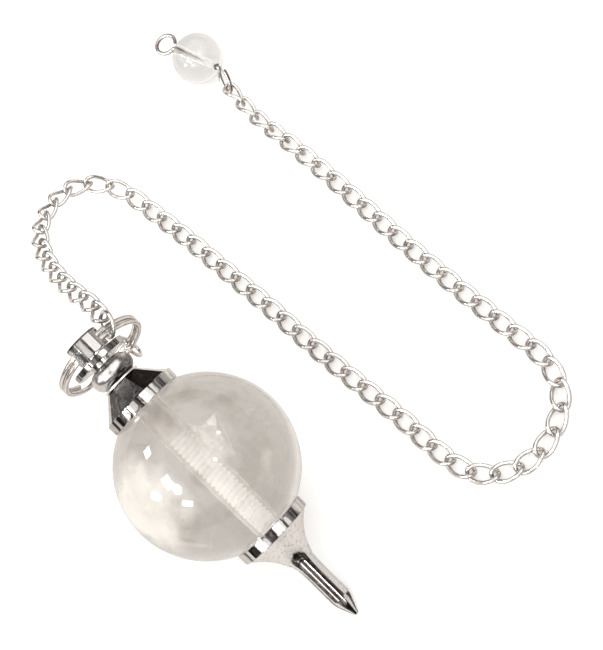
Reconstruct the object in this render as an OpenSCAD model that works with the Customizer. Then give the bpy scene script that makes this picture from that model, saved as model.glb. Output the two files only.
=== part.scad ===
// A dowsing pendulum that lies on a flat surface: a drilled stone ball between two
// plated caps on a threaded rod, a twisted link chain and a small end bead.
// Millimetres, +Z up, the surface at z = 0, the origin under the middle of the plan.

/* [Stone ball] */
// Diameter of the stone ball
stone_d = 20; // [18:0.5:23]
// Diameter of the hole drilled through the ball
stone_bore_d = 2.2; // [2:0.05:2.6]

/* [Threaded rod] */
// Outer diameter of the rod's thread
rod_d = 1.7; // [1.4:0.05:1.9]
// Distance between two ridges of the thread
thread_pitch = 0.4; // [0.3:0.05:0.6]
// Depth of the thread
thread_depth = 0.12; // [0.06:0.02:0.16]
// Length of the rod that is left plain, measured from its upper end
rod_plain_len = 9; // [4:0.5:14]
// Length of rod held in each cap, beyond the cap's rim
rod_grip = 2.2; // [1:0.1:2.6]

/* [Cap on the ball] */
// Diameter of both faceted rims, over the corners
rim_d = 9; // [8.8:0.1:9.6]
// Height of both rims
rim_h = 1.3; // [1.1:0.1:1.8]
// Number of flats around each rim
rim_flats = 24; // [16:1:32]
// Bevel of the rims, the disc and the knob
bevel = 0.1; // [0.04:0.02:0.16]
// Gap between a cap and the ball
seat_gap = 0.06; // [0.04:0.01:0.1]
// Width over two flats of the eight-sided skirt at its foot
skirt_foot = 8.2; // [7.2:0.1:8.4]
// Width over two flats of the skirt at its waist
skirt_waist = 4; // [3.6:0.1:4.4]
// Height of the skirt
skirt_h = 2.4; // [1.8:0.1:3]
// Diameter of the thin collar on the waist
collar_d = 4.5; // [4.4:0.1:4.9]
// Thickness of the collar
collar_h = 0.25; // [0.2:0.05:0.4]
// Diameter of the round swelling above the collar
swell_d = 5.2; // [4.8:0.1:5.6]
// Height of the swelling
swell_h = 2.4; // [2:0.1:2.8]
// Diameter of the milled disc
disc_d = 6.7; // [6:0.1:7]
// Thickness of the disc
disc_h = 0.75; // [0.5:0.05:0.9]
// Number of flats around the disc
disc_flats = 20; // [16:1:28]
// Diameter of the neck above and below the disc
neck_d = 3; // [2.6:0.1:3.4]
// Length of the neck on each side of the disc
neck_h = 0.3; // [0.2:0.05:0.5]
// Width of the knob over its corners
knob_d = 4; // [3.6:0.1:4.4]
// Height of the knob
knob_h = 2.3; // [2.2:0.1:3]
// Diameter of the hole across the knob
knob_hole_d = 1.84; // [1.8:0.02:1.9]
// Number of flats around the knob
knob_flats = 12; // [10:1:16]

/* [Point cap] */
// Height of the trumpet between the rim and the straight shaft
flare_h = 6.7; // [5.5:0.1:8]
// Diameter of the trumpet where it leaves the rim
flare_d = 8.4; // [7.6:0.1:8.6]
// Diameter of the shaft
shaft_d = 2.4; // [2.2:0.1:2.8]
// Length from the rim to the shoulder of the point
shoulder_h = 9.5; // [8.5:0.1:11]
// Length of the pencil point
point_h = 2.4; // [2:0.1:3]
// Diameter of the blunt end of the point
point_end_d = 0.5; // [0.3:0.05:0.8]
// Number of grooves along the shaft
flutes = 5; // [4:1:6]
// Diameter of the round cutter of a groove
flute_d = 2; // [1.6:0.1:2.2]
// Depth of a groove
flute_depth = 0.34; // [0.1:0.02:0.4]
// Length of the grooves, measured up from the shoulder
flute_len = 5.4; // [4:0.1:5.6]

/* [Split ring and jump rings] */
// Outer diameter of the split ring
split_ring_d = 11.3; // [10.6:0.1:12.2]
// Wire diameter of the split ring
split_wire = 0.6; // [0.5:0.02:0.62]
// Gap between the two turns of the split ring
split_gap = 0.05; // [0.03:0.01:0.08]
// Outer diameter of the jump rings
jump_ring_d = 3.3; // [3.2:0.05:3.6]
// Wire diameter of the jump rings
jump_wire = 0.45; // [0.4:0.01:0.5]

/* [Chain] */
// Wanted distance from one link to the next
link_pitch = 2.66; // [2.6:0.01:2.75]
// Wire diameter of the links
link_wire = 0.47; // [0.42:0.01:0.48]
// Outer width of a link
link_w = 2.35; // [2.3:0.05:2.5]
// Twist of a link from one end to the other, in degrees
link_twist = 92; // [86:1:96]
// Free play between two links
link_play = 0.28; // [0.24:0.01:0.32]

/* [End bead] */
// Diameter of the end bead
bead_d = 6.2; // [5.8:0.1:6.6]
// Diameter of the hole through the bead
bead_bore_d = 0.8; // [0.7:0.05:1]
// Wire diameter of the eye pin
pin_wire = 0.5; // [0.4:0.02:0.52]
// Outer diameter of the round eye at the free end
eye_d = 3; // [2.8:0.1:3.4]
// Length of bare wire between the bead and the round eye
eye_stem = 0.8; // [0.5:0.1:1.2]
// Length of the long loop that holds the chain
drop_l = 3.5; // [3.3:0.1:3.8]
// Outer width of the long loop
drop_w = 2.3; // [2.2:0.1:2.6]

/* [Hidden] */
$fn = 48;
silver = [0.84, 0.83, 0.81];
dark_silver = [0.62, 0.6, 0.57];
clear_stone = [0.84, 0.81, 0.78];
fit_gap = 0.1;
spill = 0.5;
sink = 0.2;

// Middle of the plan, measured from the point where the ball touches the surface
plan_x = -13.4;
plan_y = 12.162;

// Heights on the pendant's own axis, from the middle of the ball towards the knob
stone_r = stone_d / 2;
seat_r = stone_r + seat_gap;
rim_r = rim_d / 2;
rim_z = sqrt(seat_r * seat_r - rim_r * rim_r);
rim_top = rim_z + rim_h;
waist_z = rim_top + skirt_h;
swell_z = waist_z + collar_h;
disc_z = swell_z + swell_h + neck_h;
knob_z = disc_z + disc_h + neck_h;
hole_z = knob_z + knob_h / 2;
rod_top = rim_top + rod_grip;
rod_bore_d = rod_d + 2 * fit_gap;

// Lengths on the same axis towards the point
shaft_r = shaft_d / 2;
flare_r = flare_d / 2;
flare_steps = 12;
flare_power = 3;
shoulder_z = rim_top + shoulder_h;
point_z = shoulder_z + point_h;
point_r = point_end_d / 2;
flute_top = shoulder_z - flute_len;
flute_axis = shaft_r + flute_d / 2 - flute_depth;

// The pendant leans until its point meets the surface
tip_reach = sqrt(point_z * point_z + point_r * point_r);
lean = asin(stone_r / tip_reach) - atan2(point_r, point_z);

// The split ring hangs in the knob's hole, turned and leaning a little
ring_hole = [-hole_z * cos(lean), 0, stone_r + hole_z * sin(lean)];
ring_swing = -5;
ring_lean = 13;
ring_turn = 2.5;
ring_r = (split_ring_d - split_wire) / 2;
ring_rise = (ring_r - sqrt(ring_r * ring_r - knob_d * knob_d / 4)) / 2;
ring_drop = ring_r - ring_rise;
turn_step = split_wire + split_gap;
ramp_place = 212;
ramp_half = 16;
ramp_gap = 6;
coil_from = ramp_half + ramp_gap;
two_turns = 2 * 360;
coil_to = two_turns - coil_from;
coil_steps = 92;
coil_sides = 10;

// Unit vector, and a point turned about X, then Y, then Z
function unit(v) = v / norm(v);
function about_x(p, a) = [p[0], p[1] * cos(a) - p[2] * sin(a), p[1] * sin(a) + p[2] * cos(a)];
function about_y(p, a) = [p[0] * cos(a) + p[2] * sin(a), p[1], p[2] * cos(a) - p[0] * sin(a)];
function about_z(p, a) = [p[0] * cos(a) - p[1] * sin(a), p[0] * sin(a) + p[1] * cos(a), p[2]];
function turned(p, a) = about_z(about_y(about_x(p, a[0]), a[1]), a[2]);

// Split ring in its own frame: two flat turns and the ramp that joins them
function ease(q) = q * q * (3 - 2 * q);
function ramp(s) = ease(min(1, max(0, (s - 360 + ramp_half) / (2 * ramp_half))));
function coil_point(s) =
    [turn_step * (ramp(s) - 0.5), ring_r * sin(ramp_place + s), ring_r * cos(ramp_place + s)];
coil_path = [for (i = [0:coil_steps]) coil_point(coil_from + (coil_to - coil_from) * i / coil_steps)];

// A point or a direction of the ring's frame, seen from the surface's frame
ring_turns = [ring_swing, ring_lean, ring_turn];
function from_ring(p) = ring_hole + turned(p - [0, 0, ring_drop], ring_turns);
function ring_place(a) = from_ring([0, ring_r * sin(a), ring_r * cos(a)]);
function ring_dir(a) = turned([0, cos(a), -sin(a)], ring_turns);

// A jump ring holds the split ring at one place and is pulled in one direction
jump_r = (jump_ring_d - jump_wire) / 2;
jump_place = 33;
jump_pull = unit([-0.85, 0.4, 0.25]);
jump_slack = jump_r - jump_wire / 2 - turn_step / 2 - split_wire / 2 - fit_gap;
spare_place = 150;
spare_pull = unit([-0.1, 0.15, -1]);
spare_slack = jump_r - jump_wire / 2 - split_wire;
function ring_normal(a, pull) = let (t = ring_dir(a)) unit(t - pull * (t * pull));
jump_mid = ring_place(jump_place) + jump_pull * jump_slack;
jump_axis = ring_normal(jump_place, jump_pull);
spare_mid = ring_place(spare_place) + spare_pull * spare_slack;
spare_axis = ring_normal(spare_place, spare_pull);

// End bead and eye pin: the pin runs level through the bead's middle
bead_r = bead_d / 2;
bead_mid = [-43.05, 30.74, bead_r];
pin_turn = 16.5;
pin_dir = [cos(pin_turn), sin(pin_turn), 0];
pin_side = [-sin(pin_turn), cos(pin_turn), 0];
pin_sides = 10;
eye_r = (eye_d - pin_wire) / 2;
eye_mid = bead_mid - pin_dir * (bead_r + eye_stem + eye_r);
eye_from = 30;
eye_to = 342;
eye_steps = 24;
drop_stem = 0.6;
drop_from = bead_mid + pin_dir * (bead_r + drop_stem);
drop_dir = unit([0.64, -0.42, -0.66]);
drop_flat = unit(cross(drop_dir, [0, 0, 1]));
drop_side = unit(drop_flat + cross(drop_dir, drop_flat));
drop_reach = drop_l - pin_wire;
drop_half = (drop_w - pin_wire) / 2;
drop_first = 40;
drop_last = 325;
drop_steps = 20;
round_power = 0.8;
function rounded(v) = sign(v) * pow(abs(v), round_power);
function on_pin(x) = bead_mid + pin_dir * x;
function eye_point(a) = eye_mid + eye_r * (pin_dir * cos(a) + pin_side * sin(a));
function drop_point(a) = drop_from + drop_dir * drop_reach * (1 - cos(a)) / 2
    + drop_side * drop_half * rounded(sin(a));
function bend(a, b, c, t) = a * (1 - t) * (1 - t) + b * 2 * t * (1 - t) + c * t * t;
eye_path = [for (i = [0:eye_steps]) eye_point(eye_from + (eye_to - eye_from) * i / eye_steps)];
eye_bend = [for (t = [0.3, 0.6, 1])
    bend(eye_point(eye_to), eye_point(0), on_pin(0.4 - bead_r - eye_stem), t)];
hole_path = [for (x = [-bead_r, -bead_r / 3, bead_r / 3, bead_r + 0.1]) on_pin(x)];
drop_bend = [for (t = [0.35, 0.7]) bend(on_pin(bead_r + 0.1), drop_from, drop_point(drop_first), t)];
drop_path = [for (i = [0:drop_steps])
    drop_point(drop_first + (drop_last - drop_first) * i / drop_steps)];
pin_path = concat(eye_path, eye_bend, hole_path, drop_bend, drop_path);

// Chain route on the surface: the hanging stretch comes first
chain_points = [
    [-20.7, 2.9, 15.6], [-23.6, 2.3, 14.7], [-27, 1.8, 13.5], [-30.5, 1.6, 12.2], [-34, 1.9, 10.8],
    [-37.4, 3, 9.3], [-40.1, 5.2, 7.4], [-41.6, 8.2, 5.3], [-40.8, 11, 3.3], [-38, 12.8, 1.7],
    [-34, 13.5, 0.85], [-27, 14.4, 0.66], [-20, 15.1, 0.66], [-13, 15.8, 0.66], [-6, 16.3, 0.66],
    [1, 17, 0.66], [8, 17.8, 0.66], [14, 18.2, 0.66], [18.3, 19.3, 0.66], [21.1, 22.6, 0.66],
    [21.5, 27, 0.66], [19.3, 31.2, 0.66], [15.2, 33.1, 0.66], [9, 32.8, 0.66], [2, 32.3, 0.66],
    [-5, 31.9, 0.66], [-12, 31.7, 0.66], [-19, 31.5, 0.8], [-26, 31.1, 1], [-32, 30.6, 1.16]];

// The first link pulls on the jump ring and the last one on the pin's long loop
hold = (link_wire + link_play) / 2;
pull_dir = unit(chain_points[0] - jump_mid);
pull_flat = unit(pull_dir - jump_axis * (pull_dir * jump_axis));
first_hold = jump_mid + pull_flat * (jump_r - (jump_wire + link_wire) / 2 - 0.14);
last_hold = drop_from + drop_dir * (drop_reach - (pin_wire + link_wire) / 2 - 0.3);
last_dir = unit(chain_points[len(chain_points) - 1] - last_hold);
chain_knots = concat([first_hold + pull_dir * hold], chain_points, [last_hold + last_dir * hold]);
knots = len(chain_knots);

// A smooth curve through the knots, and its length up to each of its points
curve_steps = 10;
function knot(i) =
    i < 0 ? 2 * chain_knots[0] - chain_knots[1] :
    i >= knots ? 2 * chain_knots[knots - 1] - chain_knots[knots - 2] : chain_knots[i];
function curve_at(a, b, c, d, t) =
    (2 * b + (c - a) * t + (2 * a - 5 * b + 4 * c - d) * t * t
     + (3 * b - a - 3 * c + d) * t * t * t) / 2;
curve = concat(
    [for (i = [0:knots - 2]) for (k = [0:curve_steps - 1])
        curve_at(knot(i - 1), knot(i), knot(i + 1), knot(i + 2), k / curve_steps)],
    [chain_knots[knots - 1]]);
curve_len = [for (i = 0, s = 0; i < len(curve);
                  s = s + (i + 1 < len(curve) ? norm(curve[i + 1] - curve[i]) : 0), i = i + 1) s];
chain_len = curve_len[len(curve) - 1];
curve_x = [for (i = [0:len(curve) - 1]) [curve_len[i], curve[i][0]]];
curve_y = [for (i = [0:len(curve) - 1]) [curve_len[i], curve[i][1]]];
curve_z = [for (i = [0:len(curve) - 1]) [curve_len[i], curve[i][2]]];
function along(s) = [lookup(s, curve_x), lookup(s, curve_y), lookup(s, curve_z)];

// Twisted links: an oval of wire, turned about its length; the last ones roll over
links = round(chain_len / link_pitch);
link_step = chain_len / links;
link_reach = (link_step + link_wire + link_play) / 2;
link_half = (link_w - link_wire) / 2;
link_corners = 14;
link_sides = 6;
rolled_links = 8;
last_roll = 60;
function link_roll(i) = last_roll * max(0, (i + 0.5 - links + rolled_links) / (rolled_links - 0.5));
function link_mid(i) =
    (along(link_step * i) + along(link_step * (i + 1))) / 4 + along(link_step * (i + 0.5)) / 2;
function link_dir(i) = unit(along(link_step * (i + 1)) - along(link_step * i));
function link_spot(i, a) =
    let (x = link_dir(i),
         y = unit(cross([0, 0, 1], x)),
         z = cross(x, y),
         reach = link_reach * rounded(cos(a)),
         half = link_half * rounded(sin(a)),
         turn = link_roll(i) - link_twist * reach / (2 * link_reach))
    link_mid(i) + x * reach + (y * cos(turn) + z * sin(turn)) * half;

// A tube along a path; a guide vector for each point keeps its corners in line
function path_dir(p, i, closed) =
    let (n = len(p))
    closed ? unit(p[(i + 1) % n] - p[(i + n - 1) % n])
           : unit(p[min(i + 1, n - 1)] - p[max(i - 1, 0)]);
function tube_ring(p, guide, i, r, sides, closed) =
    let (t = path_dir(p, i, closed),
         u = unit(guide - t * (guide * t)),
         v = cross(t, u))
    [for (k = [0:sides - 1]) p[i] + r * (u * cos(360 * k / sides) + v * sin(360 * k / sides))];
module tube(path, guides, wire, sides, closed) {
    n = len(path);
    last = closed ? n - 1 : n - 2;
    points = [for (i = [0:n - 1]) each tube_ring(path, guides[i], i, wire / 2, sides, closed)];
    walls = [for (i = [0:last]) for (k = [0:sides - 1])
        let (j = (i + 1) % n, m = (k + 1) % sides)
        each [[i * sides + k, j * sides + k, j * sides + m],
              [i * sides + k, j * sides + m, i * sides + m]]];
    first_end = [for (k = [0:sides - 1]) k];
    last_end = [for (k = [0:sides - 1]) n * sides - 1 - k];
    polyhedron(points, closed ? walls : concat(walls, [first_end, last_end]), convexity = 8);
}

// Frames: the plan's middle is the origin, and the pendant's axis leans
module in_plan() {
    translate([-plan_x, -plan_y, 0]) children();
}
module on_pendant() {
    in_plan() translate([0, 0, stone_r]) rotate([0, lean - 90, 0]) children();
}

// A many-sided plate with bevelled edges; its first flat faces +X
module flat_sided(d, h, flats) {
    turn = 180 / flats;
    corners = [for (i = [0:flats - 1]) d / 2 * [cos(turn * (2 * i + 1)), sin(turn * (2 * i + 1))]];
    cut = d / 2 - bevel;
    intersection() {
        linear_extrude(h) polygon(corners);
        rotate_extrude() polygon([[0, 0], [cut, 0], [d / 2, bevel],
                                  [d / 2, h - bevel], [cut, h], [0, h]]);
    }
}

// A cap's rim, cut to sit on the ball
module rim() {
    translate([0, 0, rim_z]) flat_sided(rim_d, rim_h, rim_flats);
}
module seat_and_bore() {
    sphere(r = seat_r, $fn = 96);
    cylinder(d = rod_bore_d, h = rod_top + fit_gap);
}

module stone_ball() {
    color(clear_stone) on_pendant() difference() {
        sphere(d = stone_d, $fn = 96);
        cylinder(d = stone_bore_d, h = stone_d + spill, center = true);
    }
}

module threaded_rod() {
    rod_r = rod_d / 2;
    thread_len = 2 * rod_top - rod_plain_len;
    ridges = floor(thread_len / thread_pitch);
    teeth = [for (i = [0:ridges - 1]) each [
        [rod_r - thread_depth, thread_pitch * i - rod_top],
        [rod_r, thread_pitch * (i + 0.5) - rod_top]]];
    plain_z = thread_pitch * ridges - rod_top;
    color(dark_silver) on_pendant() rotate_extrude()
        polygon(concat([[0, -rod_top]], teeth,
                       [[rod_r - thread_depth, plain_z],
                        [rod_r - thread_depth, rod_top], [0, rod_top]]));
}

// Eight-sided skirt: four slabs with sloping sides, crossed at 45 degrees
module skirt() {
    foot = skirt_foot / 2;
    waist = skirt_waist / 2;
    translate([0, 0, rim_top]) intersection_for(k = [0:3])
        rotate([90, 0, 45 * k]) linear_extrude(skirt_foot * 2, center = true)
            polygon([[-foot, -sink], [foot, -sink], [foot, 0], [waist, skirt_h],
                     [-waist, skirt_h], [-foot, 0]]);
}

module swelling() {
    round_r = swell_h / 2;
    translate([0, 0, swell_z + round_r]) {
        rotate_extrude() translate([swell_d / 2 - round_r, 0]) circle(r = round_r);
        cylinder(r = swell_d / 2 - round_r, h = swell_h, center = true);
    }
}

module top_cap() {
    color(silver) on_pendant() difference() {
        union() {
            rim();
            skirt();
            translate([0, 0, waist_z]) cylinder(d = collar_d, h = collar_h);
            swelling();
            translate([0, 0, rim_z]) cylinder(d = neck_d, h = knob_z + bevel - rim_z);
            translate([0, 0, disc_z]) flat_sided(disc_d, disc_h, disc_flats);
            translate([0, 0, knob_z]) flat_sided(knob_d, knob_h, knob_flats);
        }
        seat_and_bore();
        translate([0, 0, hole_z]) rotate([90, 0, 0])
            cylinder(d = knob_hole_d, h = knob_d + spill, center = true);
    }
}

// Grooves with round upper ends, cut straight along the shaft
module shaft_grooves() {
    for (k = [0:flutes - 1])
        rotate([0, 0, 360 * k / flutes]) translate([flute_axis, 0, flute_top]) {
            cylinder(d = flute_d, h = flute_len + spill * 4);
            sphere(d = flute_d);
        }
}

// Trumpet, shaft and point turned in one piece
module trumpet() {
    flare = [for (i = [0:flare_steps]) let (s = i / flare_steps)
        [shaft_r + (flare_r - shaft_r) * pow(1 - s, flare_power), rim_top + flare_h * s]];
    rotate_extrude() polygon(concat([[0, rim_top - sink], [flare_r, rim_top - sink]], flare,
        [[shaft_r, shoulder_z], [point_r, point_z], [0, point_z]]));
}

module point_cap() {
    color(silver) on_pendant() mirror([0, 0, 1]) difference() {
        union() {
            rim();
            trumpet();
        }
        seat_and_bore();
        shaft_grooves();
    }
}

module split_ring() {
    color(silver) in_plan() translate(ring_hole) rotate(ring_turns) translate([0, 0, -ring_drop])
        tube(coil_path, coil_path, split_wire, coil_sides, false);
}

// A closed round ring about a given middle and axis
module wire_ring(mid, axis) {
    color(silver) in_plan() translate(mid) rotate([0, acos(axis[2]), atan2(axis[1], axis[0])])
        rotate_extrude() translate([jump_r, 0]) circle(d = jump_wire, $fn = 24);
}
module jump_ring() {
    wire_ring(jump_mid, jump_axis);
}
module spare_ring() {
    wire_ring(spare_mid, spare_axis);
}

module chain() {
    color(silver) in_plan() for (i = [0:links - 1]) {
        path = [for (k = [0:link_corners - 1]) link_spot(i, 360 * (k + 0.5) / link_corners)];
        mid = link_mid(i);
        tube(path, [for (p = path) p - mid], link_wire, link_sides, true);
    }
}

module end_bead() {
    color(clear_stone) in_plan() translate(bead_mid) difference() {
        sphere(d = bead_d, $fn = 64);
        rotate([0, 90, pin_turn]) cylinder(d = bead_bore_d, h = bead_d + spill, center = true);
    }
}

module eye_pin() {
    guide = cross(drop_dir, drop_side);
    color(silver) in_plan()
        tube(pin_path, [for (p = pin_path) guide], pin_wire, pin_sides, false);
}

stone_ball();
threaded_rod();
top_cap();
point_cap();
split_ring();
jump_ring();
spare_ring();
chain();
end_bead();
eye_pin();
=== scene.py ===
"""Looks of a dowsing pendulum: a drilled quartz ball between two silvered caps, a split ring,
a twisted chain and an end bead with its eye pin, lying on a pale floor."""

import math
from types import SimpleNamespace

import bpy
import numpy as np
from bpy.props import FloatProperty, FloatVectorProperty, IntProperty, PointerProperty
from mathutils import Matrix, Vector


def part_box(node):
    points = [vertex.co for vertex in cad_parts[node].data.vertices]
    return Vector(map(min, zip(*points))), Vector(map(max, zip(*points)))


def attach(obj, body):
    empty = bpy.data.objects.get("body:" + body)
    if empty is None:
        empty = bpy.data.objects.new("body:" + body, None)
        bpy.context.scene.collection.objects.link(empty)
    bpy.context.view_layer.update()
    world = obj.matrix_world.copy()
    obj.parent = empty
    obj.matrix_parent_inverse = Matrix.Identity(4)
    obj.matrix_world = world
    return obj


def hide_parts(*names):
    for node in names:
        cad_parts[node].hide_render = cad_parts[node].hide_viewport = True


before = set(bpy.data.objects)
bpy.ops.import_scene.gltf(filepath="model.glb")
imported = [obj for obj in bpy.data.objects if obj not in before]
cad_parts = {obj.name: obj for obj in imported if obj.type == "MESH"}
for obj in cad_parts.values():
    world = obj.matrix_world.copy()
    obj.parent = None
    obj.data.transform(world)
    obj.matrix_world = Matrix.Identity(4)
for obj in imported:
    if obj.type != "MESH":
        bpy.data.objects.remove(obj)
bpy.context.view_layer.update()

bl_info = {
    "name": "Lying pendulum",
    "version": (1, 0, 0),
    "blender": (4, 5, 0),
    "location": "3D View > Sidebar > Pendulum",
    "description": "Builds a lying quartz pendulum with its caps, rings, chain and end bead",
    "category": "Add Mesh",
}

MM = 0.001
TURN = 2 * math.pi
BODY = "root"


# Properties

def length(mm, name, text):
    """A length property whose default is given in millimetres."""
    return FloatProperty(name=name, description=text, default=mm * MM, min=0, unit="LENGTH", precision=5)


def angle(degrees, name, text):
    """An angle property whose default is given in degrees."""
    return FloatProperty(name=name, description=text, default=math.radians(degrees), subtype="ANGLE")


def colour(rgb, name, text):
    """A colour property in linear red, green and blue."""
    return FloatVectorProperty(name=name, description=text, default=rgb, size=3, min=0, max=1,
                               subtype="COLOR")


def count(value, name, text):
    """A whole number property."""
    return IntProperty(name=name, description=text, default=value, min=1)


class PendantSizes(bpy.types.PropertyGroup):
    """Lengths of the ball, the rod and the two caps."""

    stone_d: length(20, "Stone diameter", "Diameter of the stone ball")
    stone_bore_d: length(2.2, "Stone bore", "Diameter of the hole through the ball")
    rod_d: length(1.7, "Rod diameter", "Outer diameter of the rod's thread")
    thread_pitch: length(0.4, "Thread pitch", "Distance between two ridges of the thread")
    thread_depth: length(0.12, "Thread depth", "Depth of the thread")
    rod_plain_len: length(9, "Plain rod", "Length of rod without a thread, from its upper end")
    rod_grip: length(2.2, "Rod grip", "Length of rod held in each cap")
    rim_d: length(9, "Rim diameter", "Diameter of both rims over their corners")
    rim_h: length(1.3, "Rim height", "Height of both rims")
    rim_flats: count(24, "Rim flats", "Number of flats around each rim")
    bevel: length(0.1, "Bevel", "Bevel of the rims, the disc and the knob")
    seat_gap: length(0.06, "Seat gap", "Gap between a cap and the ball")
    skirt_foot: length(8.2, "Skirt foot", "Width over flats of the eight-sided skirt at its foot")
    skirt_waist: length(4, "Skirt waist", "Width over flats of the skirt at its waist")
    skirt_h: length(2.4, "Skirt height", "Height of the skirt")
    collar_d: length(4.5, "Collar diameter", "Diameter of the thin collar on the waist")
    collar_h: length(0.25, "Collar height", "Thickness of the collar")
    swell_d: length(5.2, "Swelling diameter", "Diameter of the round swelling")
    swell_h: length(2.4, "Swelling height", "Height of the swelling")
    disc_d: length(6.7, "Disc diameter", "Diameter of the milled disc")
    disc_h: length(0.75, "Disc thickness", "Thickness of the milled disc")
    disc_flats: count(20, "Disc flats", "Number of flats around the disc")
    neck_d: length(3, "Neck diameter", "Diameter of the neck on both sides of the disc")
    neck_h: length(0.3, "Neck length", "Length of the neck on each side of the disc")
    knob_d: length(4, "Knob diameter", "Width of the knob over its corners")
    knob_h: length(2.3, "Knob height", "Height of the knob")
    knob_flats: count(12, "Knob flats", "Number of flats around the knob")
    knob_hole_d: length(1.84, "Knob hole", "Diameter of the hole across the knob")
    flare_h: length(6.7, "Trumpet height", "Height of the trumpet above the rim")
    flare_d: length(8.4, "Trumpet diameter", "Diameter of the trumpet at the rim")
    shaft_d: length(2.4, "Shaft diameter", "Diameter of the shaft")
    shoulder_h: length(9.5, "Shoulder height", "Length from the rim to the shoulder of the point")
    point_h: length(2.4, "Point length", "Length of the pencil point")
    point_end_d: length(0.5, "Point end", "Diameter of the blunt end")
    flutes: count(5, "Grooves", "Number of grooves along the shaft")
    flute_d: length(2, "Groove cutter", "Diameter of the round cutter of a groove")
    flute_depth: length(0.34, "Groove depth", "Depth of a groove")
    flute_len: length(5.4, "Groove length", "Length of the grooves, up from the shoulder")


class LinkSizes(bpy.types.PropertyGroup):
    """Lengths of the rings, the chain, the end bead and the eye pin."""

    split_ring_d: length(11.3, "Split ring", "Outer diameter of the split ring")
    split_wire: length(0.6, "Split ring wire", "Wire diameter of the split ring")
    split_gap: length(0.05, "Split ring gap", "Gap between the two turns of the split ring")
    ring_swing: angle(-5, "Ring swing", "Turn of the split ring about the pendant's line")
    ring_lean: angle(13, "Ring lean", "Lean of the split ring")
    ring_turn: angle(2.5, "Ring turn", "Turn of the split ring about the vertical")
    jump_ring_d: length(3.3, "Jump ring", "Outer diameter of the jump rings")
    jump_wire: length(0.45, "Jump ring wire", "Wire diameter of the jump rings")
    link_pitch: length(2.66, "Link pitch", "Wanted distance from one link to the next")
    link_wire: length(0.47, "Link wire", "Wire diameter of the links")
    link_w: length(2.35, "Link width", "Outer width of a link")
    link_twist: angle(92, "Link twist", "Twist of a link from one end to the other")
    link_play: length(0.28, "Link play", "Free play between two links")
    bead_d: length(6.2, "Bead diameter", "Diameter of the end bead")
    bead_bore_d: length(0.8, "Bead bore", "Diameter of the hole through the bead")
    pin_wire: length(0.5, "Pin wire", "Wire diameter of the eye pin")
    eye_d: length(3, "Eye diameter", "Outer diameter of the round eye")
    eye_stem: length(0.8, "Eye stem", "Bare wire between the bead and the round eye")
    drop_l: length(3.5, "Long loop length", "Length of the loop that holds the chain")
    drop_w: length(2.3, "Long loop width", "Outer width of the long loop")


class PendulumColours(bpy.types.PropertyGroup):
    """Colours of the finishes."""

    quartz: colour((0.65, 0.615, 0.577), "Quartz", "Colour of the light that passes the stone")
    # Also the painted shade on the stone's darker side
    quartz_cloud: colour((0.46, 0.43, 0.40), "Quartz cloud", "Colour of the stone's cloudy parts")
    # Paints a pool of light: the bright warm part of the stone
    quartz_warm_glow: colour((1.0, 0.96, 0.885), "Quartz warmth", "Colour of the stone's warm, milky part")
    quartz_smudge: colour((0.33, 0.295, 0.25), "Quartz smudge", "Colour of the stone's dull smudges")
    cement: colour((0.95, 0.94, 0.92), "Cement", "Colour of the clear cement in the ball's hole")
    bead: colour((0.775, 0.755, 0.738), "Bead", "Colour of the light that passes the end bead")
    bead_cloud: colour((0.70, 0.675, 0.652), "Bead cloud", "Colour of the end bead's cloudy parts")
    veil: colour((0.93, 0.915, 0.89), "Veils", "Colour of the veils and cracks in the stone")
    silver: colour((0.93, 0.905, 0.88), "Silver", "Colour of the bright silver plate")
    # Also paints the caps' dark reflections and shade
    tarnish: colour((0.036, 0.024, 0.022), "Tarnish", "Colour of the dark casting skin")
    wire: colour((0.90, 0.868, 0.835), "Wire", "Colour of the chain, the rings and the pin")
    # Also paints the shade on the wires' sides and where parts meet
    grime: colour((0.14, 0.10, 0.078), "Grime", "Colour of the grime on the wire's sides")
    steel: colour((0.97, 0.975, 0.985), "Rod", "Colour of the threaded rod's ridges")
    # Also the painted shade in the thread's roots
    rod_root: colour((0.58, 0.555, 0.53), "Rod root", "Colour of the thread's roots and of the plain rod")
    floor: colour((0.90, 0.90, 0.895), "Floor", "Colour of the floor")


# Vectors and curves

def unit(v):
    """Vectors along the last axis, each divided by its length."""
    v = np.asarray(v, float)
    return v / np.linalg.norm(v, axis=-1, keepdims=True)


def radians(*degrees):
    """Angles given in degrees."""
    return tuple(math.radians(a) for a in degrees)


def turn_steps(number):
    """Angles at even steps round a whole turn."""
    return TURN * np.arange(number) / number


def rings(r, z, theta):
    """Points at distance r from the Z axis and at height z, for each angle round it."""
    return np.stack(np.broadcast_arrays(r * np.cos(theta), r * np.sin(theta), z), -1)


def turned(p, angles):
    """Points turned about X, then about Y, then about Z."""
    cx, cy, cz = np.cos(angles)
    sx, sy, sz = np.sin(angles)
    about_x = np.array([[1, 0, 0], [0, cx, -sx], [0, sx, cx]])
    about_y = np.array([[cy, 0, sy], [0, 1, 0], [-sy, 0, cy]])
    about_z = np.array([[cz, -sz, 0], [sz, cz, 0], [0, 0, 1]])
    return np.asarray(p) @ (about_z @ about_y @ about_x).T


def smooth_path(knots, steps):
    """A uniform Catmull-Rom curve: between two knots it is the cubic whose slope at each knot is half
    the step from the knot before to the knot after; past both ends the knots go on straight."""
    knots = np.asarray(knots, float)
    all_knots = np.vstack([2 * knots[0] - knots[1], knots, 2 * knots[-1] - knots[-2]])
    a, b, c, d = (all_knots[i:i + len(knots) - 1, None] for i in range(4))
    t = (np.arange(steps) / steps)[None, :, None]
    curve = (2 * b + (c - a) * t + (2 * a - 5 * b + 4 * c - d) * t ** 2
             + (3 * b - a - 3 * c + d) * t ** 3) / 2
    return np.vstack([curve.reshape(-1, 3), knots[-1]])


def rounded(v, power):
    """Sine or cosine raised to a power with its sign kept, which squares an oval's corners."""
    return np.sign(v) * np.abs(v) ** power


# Meshes

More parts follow.
